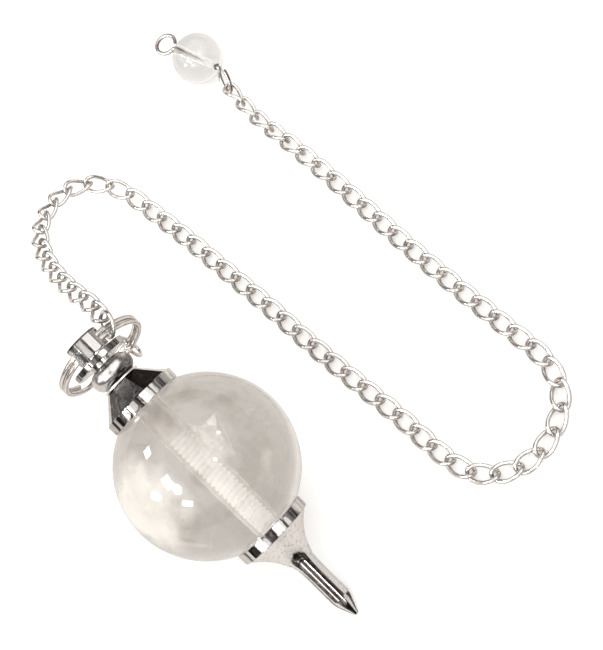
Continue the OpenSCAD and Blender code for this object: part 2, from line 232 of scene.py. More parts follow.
class Skin:
    """Collects grids of points into one mesh. Columns run round a form and rows along it."""

    def __init__(self, marks=()):
        self.names = marks
        self.points, self.quads, self.fans, self.marks, self.slots = [], [], [], [], []
        self.size = 0

    def add(self, points, mark=None):
        """Keeps points with their marks, and returns the number of the first."""
        first = self.size
        flat = points.reshape(-1, 3)
        kept = np.zeros((len(flat), len(self.names)))
        if mark is not None:
            kept = np.broadcast_to(mark, points.shape[:-1] + (len(self.names),)).reshape(kept.shape)
        self.points.append(flat)
        self.marks.append(kept)
        self.size += len(flat)
        return first

    def grid(self, points, rows_close=False, columns_close=True, mark=None, slot=0):
        """Joins neighbours of a grid, or of each grid in a stack, with four-sided faces. They are turned
        outwards by the sign of the volume that they enclose."""
        stack = points if points.ndim == 4 else points[None]
        number, rows, columns = stack.shape[:3]
        first = self.add(stack, mark)
        i = np.arange(rows if rows_close else rows - 1)[:, None]
        j = np.arange(columns if columns_close else columns - 1)[None, :]
        below, beside = (i + 1) % rows, (j + 1) % columns
        corners = np.broadcast_arrays(i * columns + j, i * columns + beside,
                                      below * columns + beside, below * columns + j)
        quads = np.stack(corners, -1).reshape(-1, 4)
        flat = stack[0].reshape(-1, 3) - stack[0].reshape(-1, 3).mean(0)
        a, b, c, d = (flat[quads[:, k]] for k in range(4))
        way = 1 if np.sum(a * (np.cross(b, c) + np.cross(c, d))) > 0 else -1
        shift = first + rows * columns * np.arange(number)
        self.quads.append((quads[None, :, ::way] + shift[:, None, None]).reshape(-1, 4))
        self.slots.append(np.full(number * len(quads), slot))
        return first, rows, columns, way

    def capped(self, points, mark=None):
        """A grid whose first and last rows are closed, each with a fan of faces round a middle."""
        first, rows, columns, way = self.grid(points, mark=mark)
        j = np.arange(columns)
        beside = (j + 1) % columns
        for row, ways in ((0, (beside, j)), (rows - 1, (j, beside))):
            edge = first + row * columns
            tip = self.add(points[row].mean(0)[None], None if mark is None else mark[row].mean(0)[None])
            fan = np.stack([edge + ways[0], edge + ways[1], np.full(columns, tip)], -1)
            self.fans.append(fan[:, ::way])

    def build(self, name, sharp=None):
        """Makes the object, with a float attribute for each mark. Edges that turn by more than sharp,
        in degrees, stay sharp."""
        points = np.concatenate(self.points)
        quads = np.concatenate(self.quads)
        fans = np.concatenate(self.fans) if self.fans else np.zeros((0, 3), int)
        corners = np.concatenate([quads.ravel(), fans.ravel()])
        sizes = np.repeat([4, 3], [len(quads), len(fans)])
        mesh = bpy.data.meshes.new(name)
        mesh.vertices.add(len(points))
        mesh.vertices.foreach_set("co", points.astype(np.float32).ravel())
        mesh.loops.add(len(corners))
        mesh.loops.foreach_set("vertex_index", corners.astype(np.int32))
        mesh.polygons.add(len(sizes))
        mesh.polygons.foreach_set("loop_start", (np.cumsum(sizes) - sizes).astype(np.int32))
        slots = np.concatenate(self.slots + [np.zeros(len(fans))])
        mesh.polygons.foreach_set("material_index", slots.astype(np.int32))
        mesh.update(calc_edges=True)
        mesh.shade_smooth()
        if sharp:
            mesh.set_sharp_from_angle(angle=math.radians(sharp))
        for kept, values in zip(self.names, np.concatenate(self.marks).T):
            mesh.attributes.new(kept, "FLOAT", "POINT").data.foreach_set("value", values.astype(np.float32))
        piece = bpy.data.objects.new(name, mesh)
        bpy.context.scene.collection.objects.link(piece)
        return piece


def tube(path, guides, radius, sides, closed=False):
    """Rings of points round a path. At each point the path's direction is the step between its two
    neighbours; the ring lies square to it and starts at the side where the guide vector points."""
    path = np.asarray(path, float)
    if closed:
        along = np.roll(path, -1, -2) - np.roll(path, 1, -2)
    else:
        along = np.gradient(path, axis=-2)
    t = unit(along)
    guides = np.broadcast_to(guides, path.shape)
    u = unit(guides - t * np.sum(guides * t, -1, keepdims=True))
    v = np.cross(t, u)
    turn = turn_steps(sides)
    radius = np.broadcast_to(radius, path.shape[:-1])[..., None, None]
    around = u[..., None, :] * np.cos(turn)[:, None] + v[..., None, :] * np.sin(turn)[:, None]
    return path[..., None, :] + radius * around


def blunted(path, radius, edge):
    """Repeats a path's two ends with smaller rings, so that a cut wire gets a small round edge."""
    start, end = unit(path[0] - path[1]), unit(path[-1] - path[-2])
    lead = np.array([1, 0.5, 0])[:, None] * edge
    shrink = np.array([0.55, 0.86, 1])
    points = np.vstack([path[0] + start * lead, path[1:-1], path[-1] + end * lead[::-1]])
    radii = np.concatenate([radius * shrink, np.full(len(path) - 2, radius), radius * shrink[::-1]])
    return points, radii


def flat_angle(theta, flats):
    """The angle from the middle of the nearest flat of a regular polygon."""
    half = math.pi / flats
    return (theta + half) % (2 * half) - half


def scatter(number, seed):
    """A value between 0 and 1 for each number: the part after the point of a large sine."""
    return np.mod(np.sin(number * 12.9898 + seed * 78.233) * 43758.5453, 1)


def flat_index(theta, flats):
    """The number of the flat at each angle."""
    return np.round(theta / (TURN / flats)).astype(int) % int(flats)


def polygon(theta, flats, chamfer, tilt):
    """Distance to the side of a regular polygon, as a multiple of its distance over the middle of a
    flat: one over the cosine of the angle from the nearest flat's middle. Near a corner that angle
    stops growing, which gives a small round chamfer. Each flat is turned by its own small tilt, as
    flats cut by hand are. No flats means a circle."""
    if not flats:
        return np.ones_like(theta)
    half = math.pi / flats
    off = flat_angle(theta, flats)
    lean = tilt * (scatter(flat_index(theta, flats), flats) - 0.5)
    return 1 / np.cos(np.minimum(np.abs(off), half - chamfer)) + lean * off * (1 - (off / half) ** 4)


# Layout: the same lengths and places as the solids. In the functions from here on, s and k are the
# sizes of the pendant and of the links, c the colours, m the pendant's layout, and b the bead's

def pendant_layout(s):
    """Heights on the pendant's own axis, from the middle of the ball towards the knob, its lean, and
    where it stands. The ball's middle is the middle of its solid's box."""
    low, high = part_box("stone_ball")
    m = SimpleNamespace(mid=np.array((low + high) / 2))
    m.stone_r = s.stone_d / 2
    m.mid[2] = m.stone_r
    m.seat_r = m.stone_r + s.seat_gap
    m.rim_r = s.rim_d / 2
    m.rim_z = math.sqrt(m.seat_r ** 2 - m.rim_r ** 2)
    m.rim_top = m.rim_z + s.rim_h
    m.waist_z = m.rim_top + s.skirt_h
    m.swell_z = m.waist_z + s.collar_h
    m.swell_top = m.swell_z + s.swell_h
    m.disc_z = m.swell_top + s.neck_h
    m.knob_z = m.disc_z + s.disc_h + s.neck_h
    m.knob_top = m.knob_z + s.knob_h
    m.hole_z = m.knob_z + s.knob_h / 2
    m.rod_top = m.rim_top + s.rod_grip
    m.shoulder_z = m.rim_top + s.shoulder_h
    m.flute_top = m.shoulder_z - s.flute_len
    m.point_z = m.shoulder_z + s.point_h
    m.point_r = s.point_end_d / 2
    reach = math.hypot(m.point_z, m.point_r)
    m.lean = math.asin(m.stone_r / reach) - math.atan2(m.point_r, m.point_z)
    m.hole = m.mid + np.array([-math.cos(m.lean), 0, math.sin(m.lean)]) * m.hole_z
    return m


def on_pendant(p, m):
    """Points of the pendant's own frame, where Z runs towards the knob and X to the side that faces
    up, turned by the lean and put where the ball stands."""
    cl, sl = math.cos(m.lean), math.sin(m.lean)
    turn = np.array([[sl, 0, -cl], [0, 1, 0], [cl, 0, sl]])
    return np.asarray(p) @ turn.T + m.mid


FIT_GAP = 0.1 * MM
# The split ring's ramp from one turn to the other: its middle, half its length, and the gap between
# it and the wire's two ends
RING_RAMP_PLACE, RING_RAMP_HALF, RING_RAMP_GAP = radians(212, 16, 6)
# Where the two small rings hang on the split ring, and which way each is pulled
JUMP_PLACE, SPARE_PLACE = radians(33, 150)
JUMP_PULL = unit([-0.85, 0.4, 0.25])
SPARE_PULL = unit([-0.1, 0.15, -1])
# The end bead's place from the spot where the ball touches the floor (mm)
BEAD_SPOT = (-43.05, 30.74)
PIN_TURN = math.radians(16.5)
EYE_FROM, EYE_TO = radians(30, 342)
# Lengths over which the round eye bends into its stem, over which the wire goes straight on beyond the
# bead, and from the bead to where the long loop starts
EYE_BEND, MOUTH_STEM, DROP_STEM = 0.4 * MM, 0.1 * MM, 0.6 * MM
DROP_DIR = unit([0.64, -0.42, -0.66])
DROP_FIRST, DROP_LAST = radians(40, 325)
ROUND_POWER = 0.8
# How many links roll over towards the pin's loop, and how far the last one does
ROLLED_LINKS, LAST_ROLL = 8, math.radians(60)
# Play between the chain's first link and the jump ring, and between its last and the pin's loop
FIRST_PLAY, LAST_PLAY = 0.14 * MM, 0.3 * MM

# The chain's route in millimetres from the spot where the ball touches the floor
CHAIN_POINTS = [
    (-20.7, 2.9, 15.6), (-23.6, 2.3, 14.7), (-27, 1.8, 13.5), (-30.5, 1.6, 12.2), (-34, 1.9, 10.8),
    (-37.4, 3, 9.3), (-40.1, 5.2, 7.4), (-41.6, 8.2, 5.3), (-40.8, 11, 3.3), (-38, 12.8, 1.7),
    (-34, 13.5, 0.85), (-27, 14.4, 0.66), (-20, 15.1, 0.66), (-13, 15.8, 0.66), (-6, 16.3, 0.66),
    (1, 17, 0.66), (8, 17.8, 0.66), (14, 18.2, 0.66), (18.3, 19.3, 0.66), (21.1, 22.6, 0.66),
    (21.5, 27, 0.66), (19.3, 31.2, 0.66), (15.2, 33.1, 0.66), (9, 32.8, 0.66), (2, 32.3, 0.66),
    (-5, 31.9, 0.66), (-12, 31.7, 0.66), (-19, 31.5, 0.8), (-26, 31.1, 1), (-32, 30.6, 1.16)]


def ring_layout(s, k, m):
    """The split ring's frame: it hangs in the knob's hole, swung, leaned and turned a little, and its
    top lies as far above the hole's axis as its wire sinks below it at the hole's two mouths."""
    ring = SimpleNamespace(r=(k.split_ring_d - k.split_wire) / 2, step=k.split_wire + k.split_gap)
    ring.turns = np.array([k.ring_swing, k.ring_lean, k.ring_turn])
    ring.drop = ring.r - (ring.r - math.sqrt(ring.r ** 2 - s.knob_d ** 2 / 4)) / 2
    ring.put = lambda p: m.hole + turned(np.asarray(p) - [0, 0, ring.drop], ring.turns)
    ring.place = lambda a: ring.put([0, ring.r * math.sin(a), ring.r * math.cos(a)])
    ring.along = lambda a: turned([0, math.cos(a), -math.sin(a)], ring.turns)
    ring.normal = lambda a, pull: unit(ring.along(a) - pull * (ring.along(a) @ pull))
    ring.jump_r = (k.jump_ring_d - k.jump_wire) / 2
    slack = ring.jump_r - k.jump_wire / 2
    ring.jump_mid = ring.place(JUMP_PLACE) + JUMP_PULL * (slack - ring.step / 2 - k.split_wire / 2 - FIT_GAP)
    ring.jump_axis = ring.normal(JUMP_PLACE, JUMP_PULL)
    ring.spare_mid = ring.place(SPARE_PLACE) + SPARE_PULL * (slack - k.split_wire)
    ring.spare_axis = ring.normal(SPARE_PLACE, SPARE_PULL)
    return ring


def pin_layout(k, m):
    """The end bead's middle, and the eye pin's two loops about the level line through it."""
    b = SimpleNamespace(r=k.bead_d / 2)
    b.mid = np.array([m.mid[0] + BEAD_SPOT[0] * MM, m.mid[1] + BEAD_SPOT[1] * MM, b.r])
    b.dir = np.array([math.cos(PIN_TURN), math.sin(PIN_TURN), 0])
    b.side = np.array([-math.sin(PIN_TURN), math.cos(PIN_TURN), 0])
    b.eye_r = (k.eye_d - k.pin_wire) / 2
    b.eye_mid = b.mid - b.dir * (b.r + k.eye_stem + b.eye_r)
    b.drop_from = b.mid + b.dir * (b.r + DROP_STEM)
    flat = unit(np.cross(DROP_DIR, [0, 0, 1]))
    b.drop_side = unit(flat + np.cross(DROP_DIR, flat))
    b.drop_reach = k.drop_l - k.pin_wire
    b.drop_half = (k.drop_w - k.pin_wire) / 2
    return b


def chain_layout(k, m, ring, b):
    """The chain's smooth curve from the jump ring to the pin's long loop, and how many links fit."""
    hold = (k.link_wire + k.link_play) / 2
    points = np.array(CHAIN_POINTS) * MM + [m.mid[0], m.mid[1], 0]
    pull = unit(points[0] - ring.jump_mid)
    flat = unit(pull - ring.jump_axis * (pull @ ring.jump_axis))
    first = ring.jump_mid + flat * (ring.jump_r - (k.jump_wire + k.link_wire) / 2 - FIRST_PLAY)
    last = b.drop_from + DROP_DIR * (b.drop_reach - (k.pin_wire + k.link_wire) / 2 - LAST_PLAY)
    knots = np.vstack([first + pull * hold, points, last + unit(points[-1] - last) * hold])
    curve = smooth_path(knots, steps=10)
    run = np.concatenate([[0], np.cumsum(np.linalg.norm(np.diff(curve, axis=0), axis=1))])
    route = SimpleNamespace(links=round(run[-1] / k.link_pitch))
    route.step = run[-1] / route.links
    route.along = lambda at: np.stack([np.interp(at, run, curve[:, i]) for i in range(3)], -1)
    return route


# Camera: where the photograph was taken from, and its own level frame

# Size of the picture and the lens' focal length, in pixels
IMAGE = (603, 650)
FOCAL_PX = 1400
CAMERA_SPOT = (0.07567, 0.012598, 0.14348)
CAMERA_AZIMUTH, CAMERA_DOWN, CAMERA_ROLL = radians(-173.77, 63.53, -50.91)


def camera_axes():
    """The picture's right and up and the way that the camera looks: a bearing, an angle down, and a
    roll about the line of sight."""
    ahead = np.array([math.cos(CAMERA_DOWN) * math.cos(CAMERA_AZIMUTH),
                      math.cos(CAMERA_DOWN) * math.sin(CAMERA_AZIMUTH), -math.sin(CAMERA_DOWN)])
    level = unit(np.cross(ahead, [0, 0, 1]))
    above = np.cross(level, ahead)
    right = math.cos(CAMERA_ROLL) * level + math.sin(CAMERA_ROLL) * above
    return right, np.cross(right, ahead), ahead


# Pieces

def finish_piece(piece, node, slot, *materials):
    """A piece rides on the only body, stands for its solid and takes its materials."""
    for material in materials:
        piece.data.materials.append(material)
    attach(piece, BODY)
    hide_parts(node)


WALL_ROWS = 24
# How much wider than its wall the mouth of a stone's hole is, and how deep the wall starts
MOUTH_EDGE, MOUTH_DEPTH = 0.04 * MM, 0.05 * MM
# Edges that turn by more than this many degrees stay sharp
STONE_SHARP, CAP_SHARP, WIRE_SHARP = 30, 5, 40


def drilled_sphere(radius, bore, rows, columns):
    """A closed surface turned about Z: the sphere from one mouth of its hole to the other, at radius
    times the sine and cosine of the angle from the pole, then straight back along the hole's wall,
    which starts a little deeper and narrower than the mouth's edge."""
    edge = math.asin((bore + MOUTH_EDGE) / radius)
    polar = np.linspace(edge, math.pi - edge, rows)
    r, z = radius * np.sin(polar), radius * np.cos(polar)
    wall = np.linspace(-1, 1, WALL_ROWS) * (z[0] - MOUTH_DEPTH)
    r, z = np.concatenate([r, np.full(WALL_ROWS, bore)]), np.concatenate([z, wall])
    return rings(r[:, None], z[:, None], turn_steps(columns))


def wall_mark(points):
    """Marks the rows of a drilled sphere that lie on its hole's wall; no row is part of a leaf."""
    mark = np.zeros(points.shape[:-1] + (2,))
    mark[-WALL_ROWS:, :, 0] = 1
    return mark


def outline(corners, steps):
    """Points at even steps along a closed outline of straight sides."""
    corners = np.vstack([corners, corners[:1]])
    run = np.concatenate([[0], np.cumsum(np.linalg.norm(np.diff(corners, axis=0), axis=1))])
    at = np.linspace(0, run[-1], steps, endpoint=False)
    return np.stack([np.interp(at, run, corners[:, i]) for i in (0, 1)], -1)


LEAF_ROWS, LEAF_STEPS = 12, 48
LEAF_SHARES = np.concatenate([np.linspace(0.04, 1, LEAF_ROWS), np.linspace(0.98, 0.04, LEAF_ROWS)])
LEAF_RIPPLE = 0.3
LEAF_HALF = 0.01 * MM


def leaf(spot, u, v, edge, bow, phase):
    """A closed leaf inside the stone: rings that are shares of its outline; its two faces lie apart by
    a little that runs out at the rim, and both bow by the square of the share plus a ripple."""
    share = LEAF_SHARES[:, None]
    side = np.repeat([1, -1], LEAF_ROWS)[:, None]
    middle = edge.mean(0)
    x, y = (middle[i] + share * (edge[None, :, i] - middle[i]) for i in (0, 1))
    ripple = LEAF_RIPPLE * np.sin(3 * turn_steps(len(edge)) + phase)
    lift = bow * (share ** 2 + ripple * share)
    lift = lift + side * LEAF_HALF * np.sqrt(1 - share ** 2 + 1e-6)
    return spot + x[..., None] * u + y[..., None] * v + lift[..., None] * np.cross(u, v)


# Leaves in the stone: outline right and up from the ball's middle, distance towards the camera, and
# bow (mm), then how dense they are, and how much of that is left at their rims
LEAVES = [
    (((-0.25, 3.85), (1.0, 5.3), (1.2, 3.85)), 5.0, 0.02, 1.35, 0.6),
    (((-1.1, 4.0), (1.0, 3.9), (2.8, 1.5), (1.2, 1.0), (-0.4, 2.3)), 4.6, 0.15, 0.7, 0.35),
    (((1.0, 5.4), (1.12, 5.33), (2.55, 2.12), (2.43, 2.08)), 5.2, 0.0, 0.6, 0.3),
    (((-4.6, 5.2), (-3.0, 6.2), (0.4, 6.6), (-0.4, 5.7), (-3.4, 4.9)), 3.6, 0.3, 0.3, 0.0),
    (((3.4, 2.2), (4.6, 3.6), (6.0, 1.4), (5.4, -0.8), (4.2, 0.4)), 2.6, 0.6, 0.3, 0.0),
    (((-2.2, -2.9), (-1.2, -2.4), (-0.3, -4.4), (-1.4, -6.2), (-2.0, -4.6)), 4.4, 0.2, 0.4, 0.0),
    (((-6.0, 1.0), (-4.9, 1.4), (-4.4, -1.4), (-5.4, -3.0), (-6.2, -1.2)), 3.4, 0.4, 0.4, 0.0),
    (((-4.0, -4.2), (-2.0, -5.8), (1.0, -6.3), (0.2, -6.9), (-2.6, -6.4)), 2.4, 0.3, 0.35, 0.0),
]


def quartz_ball(s, m):
    """The drilled ball and the leaves inside it."""
    skin = Skin(("wall", "dense"))
    points = drilled_sphere(m.stone_r, s.stone_bore_d / 2, rows=140, columns=192)
    skin.grid(on_pendant(points, m), rows_close=True, mark=wall_mark(points))
    right, up, ahead = camera_axes()
    for corners, near, bow, dense, rim in LEAVES:
        edge = outline(np.array(corners), LEAF_STEPS) * MM
        grid = leaf(m.mid - ahead * near * MM, right, up, edge, bow * MM, near)
        fade = dense * (rim + (1 - rim) * (1 - LEAF_SHARES ** 2))
        mark = np.stack([0 * fade, fade], -1)[:, None]
        skin.grid(grid, rows_close=True, mark=mark, slot=1)
    return skin.build("quartz_ball", STONE_SHARP)


THREAD_ROWS, PLAIN_ROWS, ROD_COLUMNS = 420, 12, 48
# Glue makes the thread's upper end dull, over this length
DULL_THREAD = 8 * MM


def helical_rod(s, m):
    """A round rod with a true thread: over the lower part the radius rises from the root by the
    thread's depth times a rounded wave of height over pitch less the angle over a turn. The thread
    runs in over one pitch at its lower end and over one and a half at its upper end."""
    root = s.rod_d / 2 - s.thread_depth
    top = m.rod_top - s.rod_plain_len
    z = np.concatenate([np.linspace(-m.rod_top, top, THREAD_ROWS),
                        np.linspace(top, m.rod_top, PLAIN_ROWS)[1:]])[:, None]
    theta = turn_steps(ROD_COLUMNS)
    wave = np.sin(TURN * (z / s.thread_pitch) - theta)
    wave = 0.5 + 0.5 * wave / np.sqrt(0.35 + 0.65 * wave ** 2)
    fade = np.clip((top - z) / (1.5 * s.thread_pitch), 0, 1) * np.clip((z + m.rod_top) / s.thread_pitch, 0, 1)
    clean = 0.25 + 0.75 * np.clip((top - z) / DULL_THREAD, 0, 1)
    skin = Skin(("thread",))
    points = rings(root + s.thread_depth * wave * fade, z, theta)
    skin.capped(on_pendant(points, m), mark=((0.5 + 0.5 * wave) * fade * clean)[..., None])
    return skin.build("threaded_rod_true", WIRE_SHARP)


COLUMNS = 480
SEAT_ROWS, PLATE_ROWS, SWELLING_ROWS, TRUMPET_ROWS = 12, 12, 48, 60
CHAMFER = math.radians(0.8)
# The slope by which a milled flat may be turned out of its place, half of it each way
TILT = 0.10
# A largest radius (m) for rows that need none
OPEN = 1
SKIRT_FLATS = 8
# How far the collar's edges are broken, and the radius at which the knob's top is closed by a fan
COLLAR_EDGE, KNOB_TIP = 0.06 * MM, 0.15 * MM
# The shade of the dark lines, and half the width of the line between two flats of a rim and of the knob
DARK_LINE = 1.9
RIM_LINE, KNOB_LINE = radians(0.6, 1.1)
# How dark the plate is, from 0, bright, to 2, black: dark casting skin together with painted
# reflections, in patches round the pendant's line, each from its own angle in degrees to the next one's
UPPER_RIM = (
    (-81, 1.5), (-73, 0.9), (-65, 1.8), (-57, 0.7), (-50, 1.8), (-43, 0.7), (-36, 1.85), (-30, 0.6),
    (-22, 1.85), (-11, 1.2), (2, 1.95), (13, 0.5), (22, 0.65), (28, 1.75), (31, 0.75), (36, 1.6),
    (40, 0.8), (44, 1.45), (57, 1.2), (66, 0.2), (90, 0.6), (104, 1.5), (118, 0.4), (133, 1.7),
    (147, 0.7), (160, 1.4), (176, 0.4), (190, 1.8), (203, 0.9), (221, 1.5), (236, 0.4), (250, 1.7),
    (266, 0.8))
LOWER_RIM = (
    (-81, 0.5), (-60, 0.4), (-48, 1.7), (-45, 0.5), (-38, 1.5), (-33, 1.8), (-27, 0.8), (-21, 0.6),
    (-11, 1.5), (-7, 1.0), (-3, 1.95), (10, 0.6), (17, 1.7), (19, 0.55), (26, 1.8), (29, 0.8),
    (32, 1.7), (35, 1.35), (47, 1.5), (55, 0.35), (76, 0.55), (99, 1.3), (112, 0.5), (126, 1.8),
    (141, 0.4), (155, 1.5), (170, 0.8), (186, 1.7), (199, 0.5), (215, 1.4), (230, 0.3), (243, 1.6),
    (259, 0.8))
DISC = (
    (-81, 1.0), (-60, 1.5), (-46, 0.9), (-35, 1.4), (-28, 1.0), (-18, 0.65), (-12, 1.5), (3, 1.95),
    (14, 1.2), (20, 0.65), (28, 1.3), (41, 1.75), (64, 0.8), (84, 1.1), (104, 1.6), (122, 0.6),
    (140, 1.4), (160, 0.5), (178, 1.7), (196, 0.8), (214, 1.3), (232, 0.5), (250, 1.5), (266, 0.9))
# Light patches with a round end, painted reflections of a cutter's marks: middle and half width in degrees
UPPER_ARCHES = ((-4.5, 7), (-17, 4.5), (-61, 4), (100, 7), (170, 6), (250, 7))
LOWER_ARCHES = ((-7, 4), (-30, 4), (33, 3.5), (120, 7), (206, 6), (268, 6))
# Painted reflections with dark skin: how dark each of the knob's flats is
KNOB_SHADES = (0.9, 0.55, 1.3, 0.4, 0.6, 1.3, 0.8, 1.5, 0.5, 1.2, 0.6, 0.5)
# The knob's dark strip between its first two flats
KNOB_STRIP = radians(8, 14)
# Painted reflections with dark skin: how dark each of the skirt's eight facets is
SKIRT_SHADES = (1.8, 2.35, 0.12, 1.2, 1.75, 1.85, 0.5, 2.1)
# The skirt's light edge, partly worn plate and partly painted reflection, as angles about the pendant's own
# line
SKIRT_LIGHT_EDGE = radians(285, 304)
# Dark skin in the shaft's grooves, with two worn light lines in the one that faces up
SHAFT = (
    (-33, 1.75), (-18, 0.35), (-10, 1.75), (12, 0.9), (18, 1.7), (37, 0.1), (118, 1.5), (170, 0.2),
    (190, 1.3), (242, 0.2), (262, 1.5), (300, 1.0), (304, 0.1))
# The shaft's dark skin begins above the groove that faces up: turn of its middle, half its width, and
# half the width of the arc that it begins with; then the arc's rise (mm)
SKIN_TURN, SKIN_HALF, SKIN_ARC = radians(2, 36, 38)
SKIN_RISE = 1.65
# Over this length the skin darkens, and a groove of this depth is all dark
SKIN_FADE, DARK_DEPTH = 0.2 * MM, 0.10 * MM
# Half the width of a dark facet of the pencil point, a painted reflection
FACET_HALF = math.radians(24)


def round_rows(z, r):
    """Rows of a round stretch of a cap: height, largest radius, radius, and no flats."""
    return np.stack([z, r, r, np.zeros(len(z))], -1)


def stretch(z0, r0, z1, r1, steps, flats=0):
    """Rows of a cap from one height and radius to another: height, largest radius, distance over the
    middle of a flat, and number of flats, which is 0 for a round stretch."""
    t = np.linspace(0, 1, steps)
    r = r0 + (r1 - r0) * t
    rows = np.stack([z0 + (z1 - z0) * t, r, r, np.full(steps, flats)], -1)
    if flats:
        rows[:, 1] = OPEN
    return rows


def plate(z, height, width, flats, bevel):
    """Rows of a many-sided plate, whose bevelled edges are round and whose sides are flat."""
    corner = width / 2
    flat = corner * math.cos(math.pi / flats)
    edge = np.array([0, 0.6])
    shares = np.concatenate([edge, np.ones(PLATE_ROWS), edge[::-1]])
    side = np.linspace(z + bevel, z + height - bevel, PLATE_ROWS)
    heights = np.concatenate([z + edge * bevel, side, z + height - edge[::-1] * bevel])
    sides = np.full((len(heights), 2), [flat, flats])
    return np.column_stack([heights, corner - (1 - shares) * bevel, sides])


def foot_rows(s, m):
    """The first rows of either cap: up the wall of its bore from the bottom, then along the seat, whose
    height is the root of the seat's radius squared less the distance squared, and up the rim."""
    bore = s.rod_d / 2 + FIT_GAP
    r = np.linspace(bore, m.rim_r - 0.7 * s.bevel, SEAT_ROWS)
    z = np.sqrt(m.seat_r ** 2 - r ** 2)
    rim = plate(m.rim_z, s.rim_h, s.rim_d, s.rim_flats, s.bevel)[2:]
    return np.vstack([stretch(m.rod_top + FIT_GAP, bore, z[0], bore, steps=4), round_rows(z, r), rim])


def turned_form(rows):
    """Rings of points about Z: at each angle the radius is the flat's distance times the polygon's
    factor, but not more than the row's largest radius."""
    theta = turn_steps(COLUMNS)
    largest, flat, flats = rows.T[1:]
    factor = np.stack([polygon(theta, n, CHAMFER, 0 if n == SKIRT_FLATS else TILT) for n in flats])
    return theta, np.minimum(largest[:, None], flat[:, None] * factor)


def patch_shade(theta, patches):
    """The shade of the patch in which each angle lies."""
    starts, shades = np.array(patches).T
    turn = (np.degrees(theta) - starts[0]) % 360
    return shades[np.searchsorted(starts - starts[0], turn, side="right") - 1]


def flat_marks(theta, shades):
    """The shade of each flat round a form, with a dark line where two flats meet."""
    flats = len(shades)
    edge = np.abs(flat_angle(theta, flats)) > math.pi / flats - KNOB_LINE
    return np.where(edge, DARK_LINE, np.array(shades)[flat_index(theta, flats)])


def between(theta, span):
    """Whether each angle lies in a span."""
    return (theta > span[0]) & (theta < span[1])


def rim_marks(theta, z, flats, patches, arches=()):
    """The dark skin and painted reflections of a milled edge. The patches' sides slant and wave by two
    sines of the height and the angle, and a fine line lies where two flats meet. At an arch the square
    across it plus the square of the height below its middle reach one at its round end, which has a
    dark line round it. Each column is then mixed with its two neighbours, which softens the patches' sides."""
    up = ((z - z.min()) / np.ptp(z))[:, None]
    wave = 1.6 * (up - 0.5) * np.sin(4 * theta + 1) + 0.35 * np.sin(7 * up + 5 * theta)
    mark = patch_shade(theta + np.radians(wave), patches)
    edge = np.abs(flat_angle(theta, flats)) > math.pi / flats - RIM_LINE
    mark = np.where(edge & (mark < 0.2), 0.9, mark)
    for middle, half in arches:
        across = (np.degrees(theta) - middle + 180) % 360 - 180
        reach = (across / half) ** 2 + (np.clip(0.5 - up, 0, 1) / 0.4) ** 2
        mark[reach < 1.5] = DARK_LINE
        mark[reach < 0.9] = 0.85
    return mark / 2 + (np.roll(mark, 1, 1) + np.roll(mark, -1, 1)) / 4


def turned_cap(name, m, theta, r, z, marks):
    """A cap of rings of points on the pendant's line, with the marks of its plate."""
    skin = Skin(("tarnish", "satin", "cast"))
    skin.capped(on_pendant(rings(r, z[:, None], theta), m), mark=np.stack(marks, -1))
    return skin.build(name, CAP_SHARP)


def on_rim(s, m, z, flats):
    """Which rows lie on a cap's milled rim."""
    return (z > m.rim_z) & (z <= m.rim_top) & (flats == s.rim_flats)


def top_cap_rows(s, m):
    """Rows of the upper cap: bore, seat, many-sided rim, eight-sided skirt, thin collar, round
    swelling, milled disc between two necks, and the knob."""
    neck, collar = s.neck_d / 2, s.collar_d / 2
    skirt = stretch(m.rim_top, s.skirt_foot / 2, m.waist_z, s.skirt_waist / 2, steps=14, flats=SKIRT_FLATS)
    skirt[0, 1] = m.rim_r - s.bevel
    bulge = s.swell_h / 2
    ring = s.swell_d / 2 - bulge
    end = math.acos((neck - ring) / bulge)
    phi = np.linspace(-end, end, SWELLING_ROWS)
    swelling = round_rows(m.swell_z + bulge + bulge * np.sin(phi), ring + bulge * np.cos(phi))
    worn = collar - COLLAR_EDGE
    return np.vstack([
        foot_rows(s, m), skirt, stretch(m.waist_z, worn, m.waist_z + COLLAR_EDGE, collar, steps=3),
        stretch(m.swell_z - COLLAR_EDGE, collar, m.swell_z, worn, steps=3), swelling,
        stretch(m.disc_z, neck, m.disc_z, neck, steps=1),
        plate(m.disc_z, s.disc_h, s.disc_d, s.disc_flats, s.bevel),
        stretch(m.disc_z + s.disc_h, neck, m.knob_z, neck, steps=2),
        plate(m.knob_z, s.knob_h, s.knob_d, s.knob_flats, s.bevel),
        stretch(m.knob_top, s.knob_d / 2 - 1.5 * s.bevel, m.knob_top, KNOB_TIP, steps=8)])


